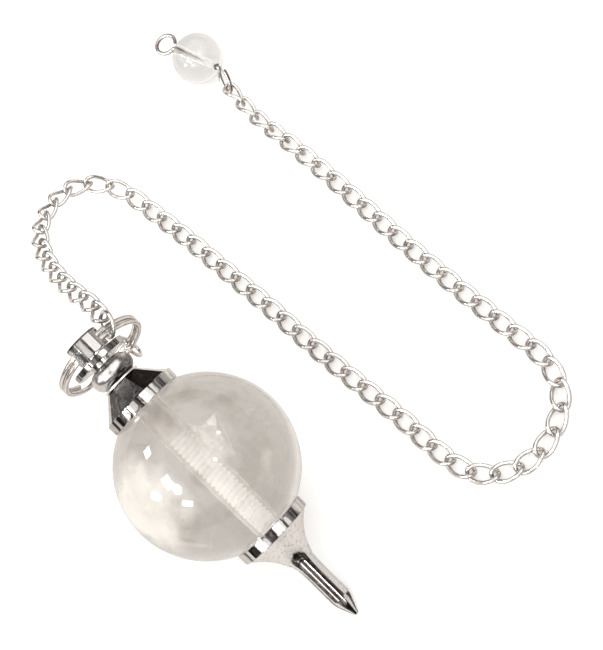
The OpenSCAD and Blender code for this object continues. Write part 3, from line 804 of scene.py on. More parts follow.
def top_cap_marks(s, m, theta, z, flats):
    """How dark, from dark skin and painted reflections, how satin and how roughly cast the upper cap is
    at each point. The swelling's dark part, painted shade on its lower side, grows with the depth below
    its middle and with the sine of the angle, and two sines make its edge uneven."""
    shape = (len(z), COLUMNS)
    tarnish, satin, cast = np.full(shape, 0.5), np.zeros(shape), np.zeros(shape)
    rim = on_rim(s, m, z, flats)
    tarnish[rim] = rim_marks(theta, z[rim], s.rim_flats, UPPER_RIM, UPPER_ARCHES)
    skirt, side = flats == SKIRT_FLATS, flat_index(theta, SKIRT_FLATS)
    tarnish[skirt] = np.where(between(theta, SKIRT_LIGHT_EDGE), 0.6, np.array(SKIRT_SHADES)[side])
    satin[skirt] = np.where(side == 0, 0.75, 0.2)
    cast[skirt] = np.where(side == 1, 0.3, 1)
    collar = (z >= m.waist_z) & (z <= m.swell_z) & (flats == 0)
    tarnish[collar], satin[collar] = 0.05, 0.8
    # Painted shade with mottled dark skin: the swelling is dark on its lower side, towards the ball
    bulge = s.swell_h / 2
    low = (m.swell_z + bulge - z[:, None]) / bulge
    low = 1.1 * low + 0.9 * np.sin(theta - 0.17) + 0.3 * np.sin(5 * theta + 2) * np.cos(7 * low) - 0.1
    swelling = (z > m.swell_z) & (z < m.swell_top) & (flats == 0)
    tarnish[swelling] = (0.55 + 1.3 * np.clip(1.5 * low, 0, 1))[swelling]
    satin[swelling], cast[swelling] = 0.5, 1
    disc = flats == s.disc_flats
    tarnish[disc] = rim_marks(theta, z[disc], s.disc_flats, DISC)
    knob = flats == s.knob_flats
    tarnish[knob] = np.where(between(theta, KNOB_STRIP), 1.75, flat_marks(theta, KNOB_SHADES))
    tarnish[knob & (z > m.knob_top - 1.7 * s.bevel)] = 1.95
    satin[(z == m.knob_top) & (flats == 0)] = 0.5
    return tarnish, satin, cast


DRILL_SIDES = 96


def drill_knob(cap, s, m):
    """Cuts the hole across the knob with a plain cylinder."""
    angle, radius = turn_steps(DRILL_SIDES), s.knob_hole_d / 2
    cylinder = np.stack(np.broadcast_arrays(
        radius * np.cos(angle), np.array([[-1], [1]]) * s.knob_d, m.hole_z + radius * np.sin(angle)), -1)
    skin = Skin()
    skin.capped(on_pendant(cylinder, m))
    cutter = skin.build("knob_drill")
    cut = cap.modifiers.new("Knob hole", "BOOLEAN")
    cut.operation, cut.solver, cut.object = "DIFFERENCE", "EXACT", cutter
    drilled = bpy.data.meshes.new_from_object(cap.evaluated_get(bpy.context.evaluated_depsgraph_get()))
    cap.modifiers.clear()
    cap.data = drilled
    drilled.set_sharp_from_angle(angle=math.radians(CAP_SHARP))
    bpy.data.objects.remove(cutter)


def top_cap(s, m):
    """The upper cap as one turned form with a hole across its knob."""
    rows = top_cap_rows(s, m)
    theta, r = turned_form(rows)
    z, flats = rows[:, 0], rows[:, 3]
    cap = turned_cap("upper_cap", m, theta, r, z, top_cap_marks(s, m, theta, z, flats))
    drill_knob(cap, s, m)
    return cap


def point_cap_rows(s, m):
    """Rows of the lower cap: bore, seat, rim, a trumpet whose radius falls with the cube of what is
    left of its height, the shaft, a cone and a blunt end."""
    shaft, flare = s.shaft_d / 2, s.flare_d / 2
    t = np.linspace(0, 1, TRUMPET_ROWS)
    return np.vstack([
        foot_rows(s, m), round_rows(m.rim_top + s.flare_h * t, shaft + (flare - shaft) * (1 - t) ** 3),
        stretch(m.rim_top + s.flare_h, shaft, m.shoulder_z, shaft, steps=24)[1:],
        stretch(m.shoulder_z, shaft, m.point_z, m.point_r, steps=30)[1:]])


def groove_depth(s, m, theta, r, z):
    """How deep the grooves are cut. Each is the near side of a round cutter: its axis' distance times
    the cosine of the angle from the groove, less the root of the cutter's radius squared less that
    distance times the sine, squared. Above the cutter's top the radius squared falls by the height
    squared, which rounds the groove's end."""
    cutter = s.flute_d / 2
    away = s.shaft_d / 2 + cutter - s.flute_depth
    off = flat_angle(theta, s.flutes)
    above = np.minimum(z - m.flute_top, 0)[:, None]
    size = cutter ** 2 - above ** 2 - (away * np.sin(off)) ** 2
    groove = away * np.cos(off) - np.sqrt(np.maximum(size, 0))
    cut = (size > 0) & (z > m.rim_top + s.bevel)[:, None] & (groove < r) & (np.abs(off) < 1)
    return np.where(cut, r - groove, 0)


def point_cap_marks(s, m, theta, z, flats, depth):
    """How dark, from dark skin and painted reflections, how satin and how roughly cast the lower cap is at
    each point. Dark skin fills the grooves. Above the one that faces up it begins with an arc, the root
    of one less the square of the angle's share, which two sines make jagged."""
    body = (z > m.rim_top)[:, None]
    off_up = (theta + math.pi) % TURN - math.pi - SKIN_TURN
    jag = 0.07 * np.sin(11 * theta) + 0.05 * np.sin(23 * theta + 1)
    arc = np.sqrt(np.clip(1 - (off_up / SKIN_ARC) ** 2, 0, 1))
    begin = m.flute_top - (SKIN_RISE * arc + jag) * MM
    dark = np.clip((z[:, None] - begin) / SKIN_FADE, 0, 1) * (np.abs(off_up) < SKIN_HALF)
    dark = np.maximum(dark * (z < m.shoulder_z)[:, None], np.clip(depth / DARK_DEPTH, 0, 1))
    shades = patch_shade(theta, SHAFT)
    dark = dark * (shades > 0.2)
    tarnish = np.where(body, 0.22 + shades * dark, 0.4)
    satin, cast = np.where(body, 1 - 0.75 * dark, 0), np.where(body, 0.6 * dark, 0)
    rim = on_rim(s, m, z, flats)
    tarnish[rim] = rim_marks(theta, z[rim], s.rim_flats, LOWER_RIM, LOWER_ARCHES)
    ridge = ((z > m.flute_top + s.flute_d / 2) & (z <= m.shoulder_z))[:, None] & (dark < 0.5)
    tarnish[ridge], satin[ridge] = 0.15, 0.9
    # Painted reflection: dark facets on the pencil point
    facet = (z > m.shoulder_z)[:, None] & (np.abs(flat_angle(theta, s.flutes)) < FACET_HALF)
    tarnish[facet], satin[facet] = 1.85, 0.2
    return tarnish, satin, cast


def point_cap(s, m):
    """The lower cap as one turned form with grooves along its shaft, mirrored along the pendant's line."""
    rows = point_cap_rows(s, m)
    theta, r = turned_form(rows)
    z, flats = rows[:, 0], rows[:, 3]
    depth = groove_depth(s, m, theta, r, z)
    marks = point_cap_marks(s, m, theta, z, flats, depth)
    return turned_cap("lower_cap", m, theta, r - depth, -z, marks)


# How far the blunt ends of a wire are rounded
SPLIT_BLUNT, JUMP_BLUNT, PIN_BLUNT = 0.05 * MM, 0.02 * MM, 0.04 * MM
SPLIT_SIDES, JUMP_SIDES, PIN_SIDES = 30, 16, 16
COIL_STEPS, JUMP_STEPS = 420, 72
# Half the angle that a jump ring's cut leaves open, and where each of the two small rings is cut
JUMP_CUT, JUMP_JOINT, SPARE_JOINT = 0.02, 0.6, 2.2


def wire(name, points, shade, grime):
    """A piece of wire of rings of points: one shade, and dark dirt with painted shade that depends on the
    side of the wire.
    """
    sides = points.shape[1]
    skin = Skin(("shade", "grime"))
    skin.capped(points, mark=np.broadcast_to(
        np.stack([np.full(sides, shade), grime], -1), points.shape[:2] + (2,)))
    return skin.build(name, WIRE_SHARP)


def wound_ring(k, ring):
    """A split ring: two flat turns of wire side by side and the short ramp from one to the other,
    where the step across follows three squares less two cubes. Dark lines of dirt and painted shade lie along
    the wire."""
    free = RING_RAMP_HALF + RING_RAMP_GAP
    a = np.linspace(free, 2 * TURN - free, COIL_STEPS)
    q = np.clip((a - TURN + RING_RAMP_HALF) / (2 * RING_RAMP_HALF), 0, 1)
    across = ring.step * (q * q * (3 - 2 * q) - 0.5)
    coil = np.stack([across, ring.r * np.sin(RING_RAMP_PLACE + a), ring.r * np.cos(RING_RAMP_PLACE + a)], -1)
    path, radii = blunted(coil, k.split_wire / 2, SPLIT_BLUNT)
    grime = 0.2 + 1.6 * np.cos(5 * turn_steps(SPLIT_SIDES)).clip(0, 1) ** 2
    points = ring.put(tube(path, path * [0, 1, 1], radii, SPLIT_SIDES))
    return wire("split_ring_wound", points, shade=0.4, grime=grime)


def wire_ring(name, mid, axis, k, ring, joint):
    """A jump ring of round wire, cut through at one place: a circle that stops just short of closing."""
    a = np.linspace(JUMP_CUT, TURN - JUMP_CUT, JUMP_STEPS) + joint
    u = unit(np.cross(axis, [0, 0, 1]))
    v = np.cross(axis, u)
    circle = mid + ring.jump_r * (np.cos(a)[:, None] * u + np.sin(a)[:, None] * v)
    path, radii = blunted(circle, k.jump_wire / 2, JUMP_BLUNT)
    # Dirt and painted shade on the ring wire's inner and outer sides
    grime = np.abs(np.cos(turn_steps(JUMP_SIDES))) ** 3
    return wire(name, tube(path, path - mid, radii, JUMP_SIDES), shade=0.5, grime=grime)


LINK_CORNERS, LINK_SIDES = 52, 14


def twisted_chain(k, route):
    """All links at once: an oval of wire, its sine and cosine raised to a power that squares it, turned
    about its length by the twist times the share of its reach; the last links roll over as well.
    Dirt and painted shade grow with the cube of the cosine, round the wire and round the link, so that
    they lie on the wire's inner and outer sides as dark outlines and on the link's ends, where links meet."""
    i = np.arange(route.links)
    start, middle, end = (route.along(route.step * (i + share)) for share in (0, 0.5, 1))
    mid = (start + end) / 4 + middle / 2
    x = unit(end - start)
    y = unit(np.cross([0, 0, 1], x))
    z = np.cross(x, y)
    a = turn_steps(LINK_CORNERS)
    reach_most = (route.step + k.link_wire + k.link_play) / 2
    reach = reach_most * rounded(np.cos(a), ROUND_POWER)
    half = (k.link_w - k.link_wire) / 2 * rounded(np.sin(a), ROUND_POWER)
    roll = LAST_ROLL * np.maximum(0, (i + 0.5 - route.links + ROLLED_LINKS) / (ROLLED_LINKS - 0.5))
    turn = (roll[:, None] - k.link_twist * reach / (2 * reach_most))[..., None]
    path = (mid[:, None] + x[:, None] * reach[:, None]
            + (y[:, None] * np.cos(turn) + z[:, None] * np.sin(turn)) * half[:, None])
    skin = Skin(("shade", "grime"))
    shade = scatter(i, 4)[:, None, None] * np.ones((1, LINK_CORNERS, LINK_SIDES))
    inward = -np.cos(turn_steps(LINK_SIDES))
    grime = np.abs(inward) ** 3 * (0.75 + 0.25 * inward) + 0.5 * (np.abs(np.cos(a)) ** 3)[:, None]
    grime = np.broadcast_to(grime, shade.shape)
    points = tube(path, path - mid[:, None], k.link_wire / 2, LINK_SIDES, closed=True)
    skin.grid(points, rows_close=True, mark=np.stack([shade, grime], -1))
    return skin.build("curb_chain")


def quartz_bead(k, b):
    """The drilled bead, turned so that its hole runs level along the pin."""
    points = drilled_sphere(b.r, k.bead_bore_d / 2, rows=96, columns=96)
    x, y, z = (points[..., i, None] for i in range(3))
    skin = Skin()
    skin.grid(b.mid + z * b.dir + x * [0, 0, 1] + y * b.side, rows_close=True)
    return skin.build("quartz_bead", STONE_SHARP)


def bend(a, b, c, t):
    """Points on a curve from a to c that is pulled towards b."""
    t = np.asarray(t)[:, None]
    return a * (1 - t) ** 2 + b * 2 * t * (1 - t) + c * t ** 2


def wire_pin(k, b):
    """The eye pin: a round eye, the stem that bends into the bead's hole, and the long loop beyond."""
    def on_pin(x):
        return b.mid + b.dir * x

    def eye(a):
        a = np.asarray(a)[..., None]
        return b.eye_mid + b.eye_r * (b.dir * np.cos(a) + b.side * np.sin(a))

    def drop(a):
        a = np.asarray(a)[..., None]
        return (b.drop_from + DROP_DIR * b.drop_reach * (1 - np.cos(a)) / 2
                + b.drop_side * b.drop_half * rounded(np.sin(a), ROUND_POWER))

    stem = on_pin(EYE_BEND - b.r - k.eye_stem)
    mouth = on_pin(b.r + MOUTH_STEM)
    knots = np.vstack([
        eye(np.linspace(EYE_FROM, EYE_TO, 25)), bend(eye(EYE_TO), eye(0), stem, [0.3, 0.6, 1]),
        [on_pin(x * b.r) for x in (-1, -1 / 3, 1 / 3)], mouth[None],
        bend(mouth, b.drop_from, drop(DROP_FIRST), [0.35, 0.7]),
        drop(np.linspace(DROP_FIRST, DROP_LAST, 21))])
    path, radii = blunted(smooth_path(knots, steps=5), k.pin_wire / 2, PIN_BLUNT)
    # Dirt and painted shade as dark lines along the pin's sides
    grime = 1.8 * np.abs(np.sin(turn_steps(PIN_SIDES))) ** 3
    points = tube(path, np.cross(DROP_DIR, b.drop_side), radii, PIN_SIDES)
    return wire("wire_pin", points, shade=0.4, grime=grime)


# Materials

class Number:
    """A number socket of a material or the world; sums with it add Math nodes to its shop."""

    def __init__(self, shop, socket):
        self.shop, self.socket = shop, socket

    def __add__(self, other):
        return self.shop.maths("ADD", self, other)

    def __sub__(self, other):
        return self.shop.maths("SUBTRACT", self, other)

    def __rsub__(self, other):
        return self.shop.maths("SUBTRACT", other, self)

    def __mul__(self, other):
        return self.shop.maths("MULTIPLY", self, other)

    def __truediv__(self, other):
        return self.shop.maths("DIVIDE", self, other)

    def __pow__(self, other):
        return self.shop.maths("POWER", self, other)

    __radd__ = __add__
    __rmul__ = __mul__


class Shop:
    """Adds the nodes of one finish, or of the room's light, to what owns them."""

    def __init__(self, owner):
        owner.use_nodes = True
        self.owner, self.tree = owner, owner.node_tree
        self.tree.nodes.clear()

    def node(self, kind, sockets=None, **settings):
        """Any node: its type, the values or links of its sockets, and its settings. A colour has three
        numbers here, and a place may be an array."""
        made = self.tree.nodes.new(kind)
        for name, value in settings.items():
            setattr(made, name, value)
        for name, value in (sockets or {}).items():
            socket = made.inputs[name]
            value = value.socket if isinstance(value, Number) else value
            if isinstance(value, bpy.types.NodeSocket):
                self.tree.links.new(value, socket)
            elif socket.type == "RGBA":
                socket.default_value = (*value, 1)
            else:
                socket.default_value = tuple(value) if isinstance(value, np.ndarray) else value
        return made

    def number(self, kind, sockets=None, output=0, **settings):
        """The number that a node gives at one of its outputs."""
        return Number(self, self.node(kind, sockets, **settings).outputs[output])

    def maths(self, operation, *values):
        """The number that a Math node works out from one or more numbers."""
        return self.number("ShaderNodeMath", dict(enumerate(values)), operation=operation)

    def vector(self, operation, first, second):
        """The place that a Vector Math node works out from two places."""
        return self.node("ShaderNodeVectorMath", {0: first, 1: second}, operation=operation).outputs[0]

    def place(self, centre=(0, 0, 0), turn=(0, 0, 0), scale=(1, 1, 1)):
        """Object coordinates, moved so that a pattern is centred and turned on its piece."""
        moved = self.vector("SUBTRACT", self.node("ShaderNodeTexCoord").outputs["Object"], centre)
        return self.node("ShaderNodeMapping", {"Vector": moved, "Rotation": turn, "Scale": scale},
                         vector_type="TEXTURE").outputs[0]

    def noise(self, where, scale, detail, roughness, distortion=0):
        """Soft noise between 0 and 1; scale is in waves for each metre."""
        return self.number("ShaderNodeTexNoise", {
            "Vector": where, "Scale": scale, "Detail": detail, "Roughness": roughness,
            "Distortion": distortion})

    def range(self, value, low, high, to_low=0.0, to_high=1.0):
        """A value carried smoothly from one range to another."""
        return self.number("ShaderNodeMapRange", {0: value, 1: low, 2: high, 3: to_low, 4: to_high},
                           interpolation_type="SMOOTHSTEP")

    def spots(self, where, scale, low, high, detail=4, roughness=0.6, distortion=0):
        """Spots of soft noise: 0 where the noise is below a first value, and 1 where above a second."""
        return self.range(self.noise(where, scale, detail, roughness, distortion), low, high)

    def wisps(self, where):
        """The thin drawn-out clouds of quartz."""
        return self.spots(where, 520, 0.50, 0.74, 5, 0.65, 2.5)

    def dot(self, where, direction):
        """How far a place lies along a direction."""
        return self.number("ShaderNodeVectorMath", {0: where, 1: direction}, 1, operation="DOT_PRODUCT")

    def distance(self, where, spot):
        """How far a place lies from a spot."""
        return self.number("ShaderNodeVectorMath", {0: where, 1: spot}, 1, operation="DISTANCE")

    def wander(self, where, scale, reach):
        """Places moved about by soft noise, at most by half the reach each way."""
        drift = self.node("ShaderNodeTexNoise", {
            "Vector": where, "Scale": scale, "Detail": 2, "Roughness": 0.45}).outputs["Color"]
        drift = self.vector("SUBTRACT", drift, (0.5, 0.5, 0.5))
        drift = self.node("ShaderNodeVectorMath", {0: drift, "Scale": reach}, operation="SCALE").outputs[0]
        return self.vector("ADD", where, drift)

    def mirrored(self):
        """One for a ray that a surface has just mirrored, and none for one that went through glass."""
        ray = self.node("ShaderNodeLightPath").outputs
        return Number(self, ray["Is Glossy Ray"]) * (1 - Number(self, ray["Is Transmission Ray"]))

    def attribute(self, name):
        """A mark that the mesh carries."""
        return self.number("ShaderNodeAttribute", None, "Fac", attribute_name=name)

    def mix(self, share, first, second):
        """Two colours mixed by a share."""
        return self.node("ShaderNodeMix", {0: share, 6: first, 7: second}, data_type="RGBA").outputs[2]

    def bump(self, height, depth, strength):
        """A normal from a height between 0 and 1; depth is in metres."""
        return self.node("ShaderNodeBump", {
            "Strength": strength, "Distance": depth, "Height": height}).outputs[0]

    def coat(self, sockets):
        """A surface that mirrors, passes and scatters light, by the values of its sockets."""
        return self.node("ShaderNodeBsdfPrincipled", sockets).outputs[0]

    def milk(self, tint, light, roughness, mirror):
        """Dull milky stone of a tint, with a painted glow of faint light."""
        return self.coat({"Base Color": tint, "Roughness": roughness, "Specular IOR Level": mirror,
                          "Emission Color": light, "Emission Strength": MILK_GLOW})

    def polished(self, tint, milk, haze):
        """Polished quartz: glass of a tint, with a share of opaque stone of another tint."""
        polish = {"Roughness": 0.012, "IOR": 1.54}
        glass = self.coat({"Base Color": tint, "Transmission Weight": 1, **polish})
        return self.blend(haze, glass, self.coat({"Base Color": milk, **polish}))

    def blend(self, share, first, second):
        """Two surfaces mixed by a share."""
        return self.node("ShaderNodeMixShader", {0: share, 1: first, 2: second}).outputs[0]

    def finish(self, surface, kind="Material"):
        """Ends the nodes in a surface, and returns what owns them."""
        self.node("ShaderNodeOutput" + kind, {"Surface": surface})
        return self.owner


def new_shop(name):
    """A shop that fills a new material."""
    return Shop(bpy.data.materials.new(name))


# How strongly the cement in the hole bends light, beside the stone
CEMENT_IOR = 1.05
# The painted glow of the milky parts and of the rod, in place of the light that two surfaces of glass hold
# back
MILK_GLOW, ROD_GLOW = 0.38, 0.36
# The direction from the ball's middle of the warm part, a painted pool of light
WARM_GLOW_SIDE = (0.139, -0.659, 0.704)
# The side towards which the stone is cloudier and darker, a painted shade
CLOUDY_SHADED_SIDE = (-0.005, 0.871, 0.458)
# Dull smudges on the ball: place from its middle, and size (mm)
SMUDGES = [
    ((4.64, 0.34, 8.74), 1.2),
    ((-4.3, 0.84, 9.01), 1.9),
    ((-4, 5.03, 7.63), 2.6),
    ((-0.36, 7.72, 6.35), 1.9),
    ((6.44, -4.05, 6.53), 1.7),
    ((6.48, -5.68, 5.03), 1.5),
    ((5, 6.57, 5.55), 1.7),
]


def warm_glow_and_dull(shop, where, wisp, m):
    """Where the stone is warm and milky on one side, a painted pool of light, and where it is dull: round
    a few places, each of which fades with the distance over its size."""
    astray = shop.wander(where, 300, 3.0 * MM)
    warm = shop.range(shop.dot(astray, unit(WARM_GLOW_SIDE) / m.stone_r), 0.80, 1.0)
    smudge = 0.0
    for place, size in SMUDGES:
        near = 1 - shop.distance(astray, np.array(place) * MM) / (size * MM)
        smudge = shop.maths("MAXIMUM", near, smudge)
    return warm, shop.range(smudge + wisp * 0.25, 0.05, 1.0)


def hole_wall(shop, where, wisp, c, m):
    """The hole's wall: clear cement with a milky lining, which has a painted glow and grows towards the lower
    end.
    """
    cement = shop.coat({
        "Base Color": c.cement, "Roughness": 0.02, "IOR": CEMENT_IOR, "Transmission Weight": 1})
    lining = shop.milk(c.veil, c.veil, roughness=0.5, mirror=0.2)
    down = on_pendant([0, 0, -1], m) - m.mid
    lower = shop.range(shop.dot(where, down / m.stone_r), -0.5, 0.4)
    return shop.blend(0.06 + wisp * 0.03 + lower * 0.18, cement, lining)


def quartz(c, m):
    """Polished stone: glass whose tint drifts between clear and cloudy parts, mixed with a little milky
    haze, and darker towards one side as painted shade. A warm milky part on another side is a painted
    pool of light, and dull smudges lie round a few places. Clear cement fills the hole, so that its wall
    hardly bends the light, and the wall has a milky lining."""
    shop = new_shop("polished_quartz")
    where = shop.place(m.mid)
    cloud = shop.spots(where, 190, 0.40, 0.66, distortion=1.2)
    wisp = shop.wisps(where)
    vein = shop.spots(where, 700, 0.52, 0.66, 6, 0.7, 3.0)
    # Painted shade: the tint grows cloudier and darker towards one side
    side = shop.range(shop.dot(where, unit(CLOUDY_SHADED_SIDE) / m.stone_r), -0.3, 1.0)
    warm, smudge = warm_glow_and_dull(shop, where, wisp, m)
    tint = shop.mix(cloud * 0.6 + side * 0.4, c.quartz, c.quartz_cloud)
    tint = shop.mix(wisp * 0.25, tint, c.veil)
    tint = shop.mix(vein * 0.30, tint, c.quartz_smudge)
    # Painted pool of light: a warm, brighter and milkier part on one side
    tint = shop.mix(warm, tint, c.quartz_warm_glow)
    tint = shop.mix(smudge * 0.8, tint, c.quartz_smudge)
    haze = 0.03 + cloud * 0.03 + wisp * 0.05 + warm * 0.42
    stone = shop.polished(tint, shop.mix(warm, c.veil, c.quartz_warm_glow), haze)
    return shop.finish(shop.blend(shop.attribute("wall"), stone, hole_wall(shop, where, wisp, c, m)))


def bead_quartz(c, b):
    """The small bead's clearer stone: lightly clouded glass with a trace of haze."""
    shop = new_shop("bead_quartz")
    wisp = shop.wisps(shop.place(b.mid))
    tint = shop.mix(wisp * 0.4, c.bead, c.bead_cloud)
    return shop.finish(shop.polished(tint, c.veil, 0.03 + wisp * 0.05))


def quartz_veil(c, m):
    """Milky leaves inside the stone: a white dull surface with a painted glow, denser on some leaves, that
    thins out in soft patches and carries bright flecks."""
    shop = new_shop("quartz_veil")
    where = shop.place(m.mid)
    patch = shop.spots(where, 500, 0.36, 0.66, detail=5, distortion=1.5)
    fleck = shop.spots(where, 2600, 0.58, 0.70, detail=2, roughness=0.7)
    milk = shop.milk(shop.mix(fleck, c.veil, (1, 1, 1)), c.veil, roughness=0.6, mirror=0.1)
    share = shop.attribute("dense") * (0.25 + patch * 0.45 + fleck * 0.4)
    return shop.finish(shop.blend(share, shop.node("ShaderNodeBsdfTransparent").outputs[0], milk))


def silver_plate(c, m):
    """Bright plate on a casting: polished flats, a satin mottled trumpet, dark skin in the hollows and
    on the skirt, painted reflections and shade on the flats and the swelling, small pits, and scratches
    along the pendant."""
    shop = new_shop("silver_plate")
    turn = (0, m.lean - math.pi / 2, 0)
    where, streaked = shop.place(m.mid, turn), shop.place(m.mid, turn, (1, 1, 14))
    tarnish, satin, cast = (shop.attribute(name) for name in ("tarnish", "satin", "cast"))
    mottle = shop.noise(where, 900, 5, 0.68, 1.0)
    grain = shop.noise(where, 3400, 3, 0.6)
    patches = shop.range(mottle, 0.46, 0.70)
    specks = shop.range(grain, 0.52, 0.66)
    streaks = shop.spots(streaked, 2600, 0.50, 0.62, detail=3, roughness=0.7) * (1 - satin)
    marks = shop.spots(where, 1900, 0.60, 0.70, roughness=0.7, distortion=0.6)
    # How dark the plate is: dark skin together with painted reflections and shade, lightened by mottling
    dark = tarnish * 0.5 * (1 - patches * 0.14 - specks * 0.10 - cast * (patches * 0.22 + streaks * 0.2))
    pitted = shop.range(grain, 0.46, 0.66) * 0.28 + patches * 0.20 + marks * 0.45 - 0.20
    dark = shop.maths("MAXIMUM", dark + streaks * 0.26 + satin * pitted, 0.0)
    height = mottle * (0.25 + satin * 0.65) + grain * (0.05 + 0.35 * satin)
    return shop.finish(shop.coat({
        "Base Color": shop.mix(shop.maths("MINIMUM", dark, 1.0), c.silver, c.tarnish), "Metallic": 1,
        "Roughness": 0.09 + satin * 0.30 + patches * 0.08, "Normal": shop.bump(height, 0.09 * MM, 0.4)}))


def bright_wire(c, name):
    """Bright drawn wire: each link has its own shade, the sides are dark with dirt where links rub and
    cloths don't reach and with painted shade along the outlines, with soft stains and fine scratches."""
    shop = new_shop(name)
    where = shop.place()
    stain = shop.spots(where, 800, 0.45, 0.75)
    # The darkened share: dirt and painted shade on the wire's sides, stains and each link's tone
    dull = shop.attribute("grime") * (0.42 + stain * 0.34) + stain * 0.10 + shop.attribute("shade") * 0.06
    return shop.finish(shop.coat({
        "Base Color": shop.mix(dull, c.wire, c.grime), "Metallic": 0.88, "Roughness": 0.15 + dull * 0.2,
        "Normal": shop.bump(shop.noise(where, 5200, 2, 0.6), 0.015 * MM, 0.3)}))


def rod_steel(c, m):
    """The rod's pale zinc: dull and light on the ridges, darker in the thread's roots as painted shade, and
    with a painted glow.
    """
    shop = new_shop("rod_steel")
    stain = shop.spots(shop.place(m.mid), 1100, 0.42, 0.7)
    # Painted shade: the thread's roots are darker
    tone = shop.mix((1 - shop.attribute("thread")) ** 2 * 0.9 + stain * 0.10, c.steel, c.rod_root)
    return shop.finish(shop.coat({
        "Base Color": tone, "Roughness": 0.34 + stain * 0.15, "Specular IOR Level": 0.3,
        "Emission Color": tone, "Emission Strength": ROD_GLOW, "Normal": shop.bump(stain, 0.02 * MM, 0.3)}))


# Stage

# Metres from the ball's middle to each lamp, and from the floor's middle to its sides
LAMP_DISTANCE, FLOOR_HALF = 0.5, 1.5
# Brightness of the studio, and of the faint light that the floor gives off
WORLD_LEVEL, FLOOR_GLOW = 1.32, 0.22
# The dark band along the walls: sine of its upper edge's height, how much of it is soft, and brightness
BAND_TOP, BAND_SOFT, BAND_LEVEL = 0.46, 0.08, 0.07
# Places in the room: bearing and height in degrees, radius in degrees, brightness
ROOM = [
    ((6, 64), 10, 0.03), ((-170, 15), 36, 0.05), ((-72, 38), 14, 0.10), ((86, 12), 14, 0.40),
    ((50, 57), 13, 3.0),
]
# Shares of a place's radius between which it fades
FADE_IN, FADE_OUT = 0.85, 1.15
MIRRORED_FLOOR = (0.60, 0.565, 0.535)
# Small lamps: bearing and height, width and height in degrees, turn, shape, radiance
LAMPS = [
    ((-87.1, 52.1), (13.7, 11), -17, "RECTANGLE", 18), ((-65.6, 50.5), (11.5, 11.5), 0, "DISK", 18),
    ((-92.8, 28.6), (14.5, 9), 45, "ELLIPSE", 18), ((-50.1, 35.4), (12, 7), -10, "RECTANGLE", 16),
    ((-142.3, 38.3), (10, 8.6), 38, "RECTANGLE", 16), ((90.2, 45), (3.7, 3.7), 0, "DISK", 24),
    ((41.6, 56.9), (4.6, 4.6), 0, "DISK", 24),
]


def towards(bearing, height):
    """The direction of a place in the room."""
    a, e = radians(bearing, height)
    return np.array([math.cos(e) * math.cos(a), math.cos(e) * math.sin(a), math.sin(e)])


def light_room(scene):
    """An even white studio. What shines mirrors a dark band along the walls and a few dark and bright
    places: each is a soft round patch, found by the dot product of two directions."""
    world = bpy.data.worlds.new("studio")
    scene.world = world
    world.cycles.sampling_method = "NONE"
    shop = Shop(world)
    where = shop.node("ShaderNodeTexCoord").outputs["Generated"]
    rise = shop.number("ShaderNodeSeparateXYZ", {0: where}, 2)
    level = shop.range(rise, BAND_TOP - BAND_SOFT, BAND_TOP, BAND_LEVEL, WORLD_LEVEL)
    for (bearing, height), radius, bright in ROOM:
        near = shop.dot(where, towards(bearing, height))
        outer, inner = (math.cos(math.radians(radius * share)) for share in (FADE_OUT, FADE_IN))
        inside = shop.range(near, outer, inner)
        level = inside * (bright - level) + level
    level = WORLD_LEVEL + shop.mirrored() * (level - WORLD_LEVEL)
    light = shop.node("ShaderNodeBackground", {"Color": (1, 0.992, 0.98), "Strength": level})
    shop.finish(light.outputs[0], "World")


def hang_lamps(scene, m):
    """Small bright lamps that only show as glints: each lies at a set distance and faces the ball. Its
    power is its radiance times pi times its area."""
    for i, ((bearing, height), (wide, high), turn, shape, radiance) in enumerate(LAMPS):
        lamp = bpy.data.lights.new(f"glint_{i + 1}", "AREA")
        lamp.shape = shape
        lamp.size, lamp.size_y = (LAMP_DISTANCE * a for a in radians(wide, high))
        area = lamp.size * (lamp.size_y if shape in ("RECTANGLE", "ELLIPSE") else lamp.size)
        lamp.energy = radiance * math.pi * area * (1 if shape == "RECTANGLE" else math.pi / 4)
        spot = bpy.data.objects.new(lamp.name, lamp)
        spot.location = Vector(m.mid + towards(bearing, height) * LAMP_DISTANCE)
        aim = Vector(-towards(bearing, height)).to_track_quat("-Z", "Y")
        spot.rotation_euler = (aim.to_matrix() @ Matrix.Rotation(math.radians(turn), 3, "Z")).to_euler()
        spot.visible_diffuse = False
        spot.visible_transmission = False
        scene.collection.objects.link(spot)


def pale_floor(c):
    """A plain pale floor. What shines mirrors it greyer and warmer, as a floor in half shade."""
    side = np.linspace(-FLOOR_HALF, FLOOR_HALF, 5)
    x, y = np.meshgrid(side, side, indexing="ij")
    skin = Skin()
    skin.grid(np.stack([x, y, np.zeros_like(x)], -1), columns_close=False)
    floor = skin.build("pale_floor")
    shop = new_shop("floor_white")
    cloudy = shop.spots(shop.place(), 60, 0.3, 0.7, detail=3, roughness=0.55)
    pale = shop.coat({
        "Base Color": shop.mix(cloudy * 0.03, c.floor, (0.8, 0.8, 0.8)), "Roughness": 0.7,
        "Specular IOR Level": 0.2, "Emission Color": (1, 0.995, 0.985), "Emission Strength": FLOOR_GLOW})
    greyer = shop.node("ShaderNodeBsdfDiffuse", {"Color": MIRRORED_FLOOR}).outputs[0]
    floor.data.materials.append(shop.finish(shop.blend(shop.mirrored() * 0.8, pale, greyer)))


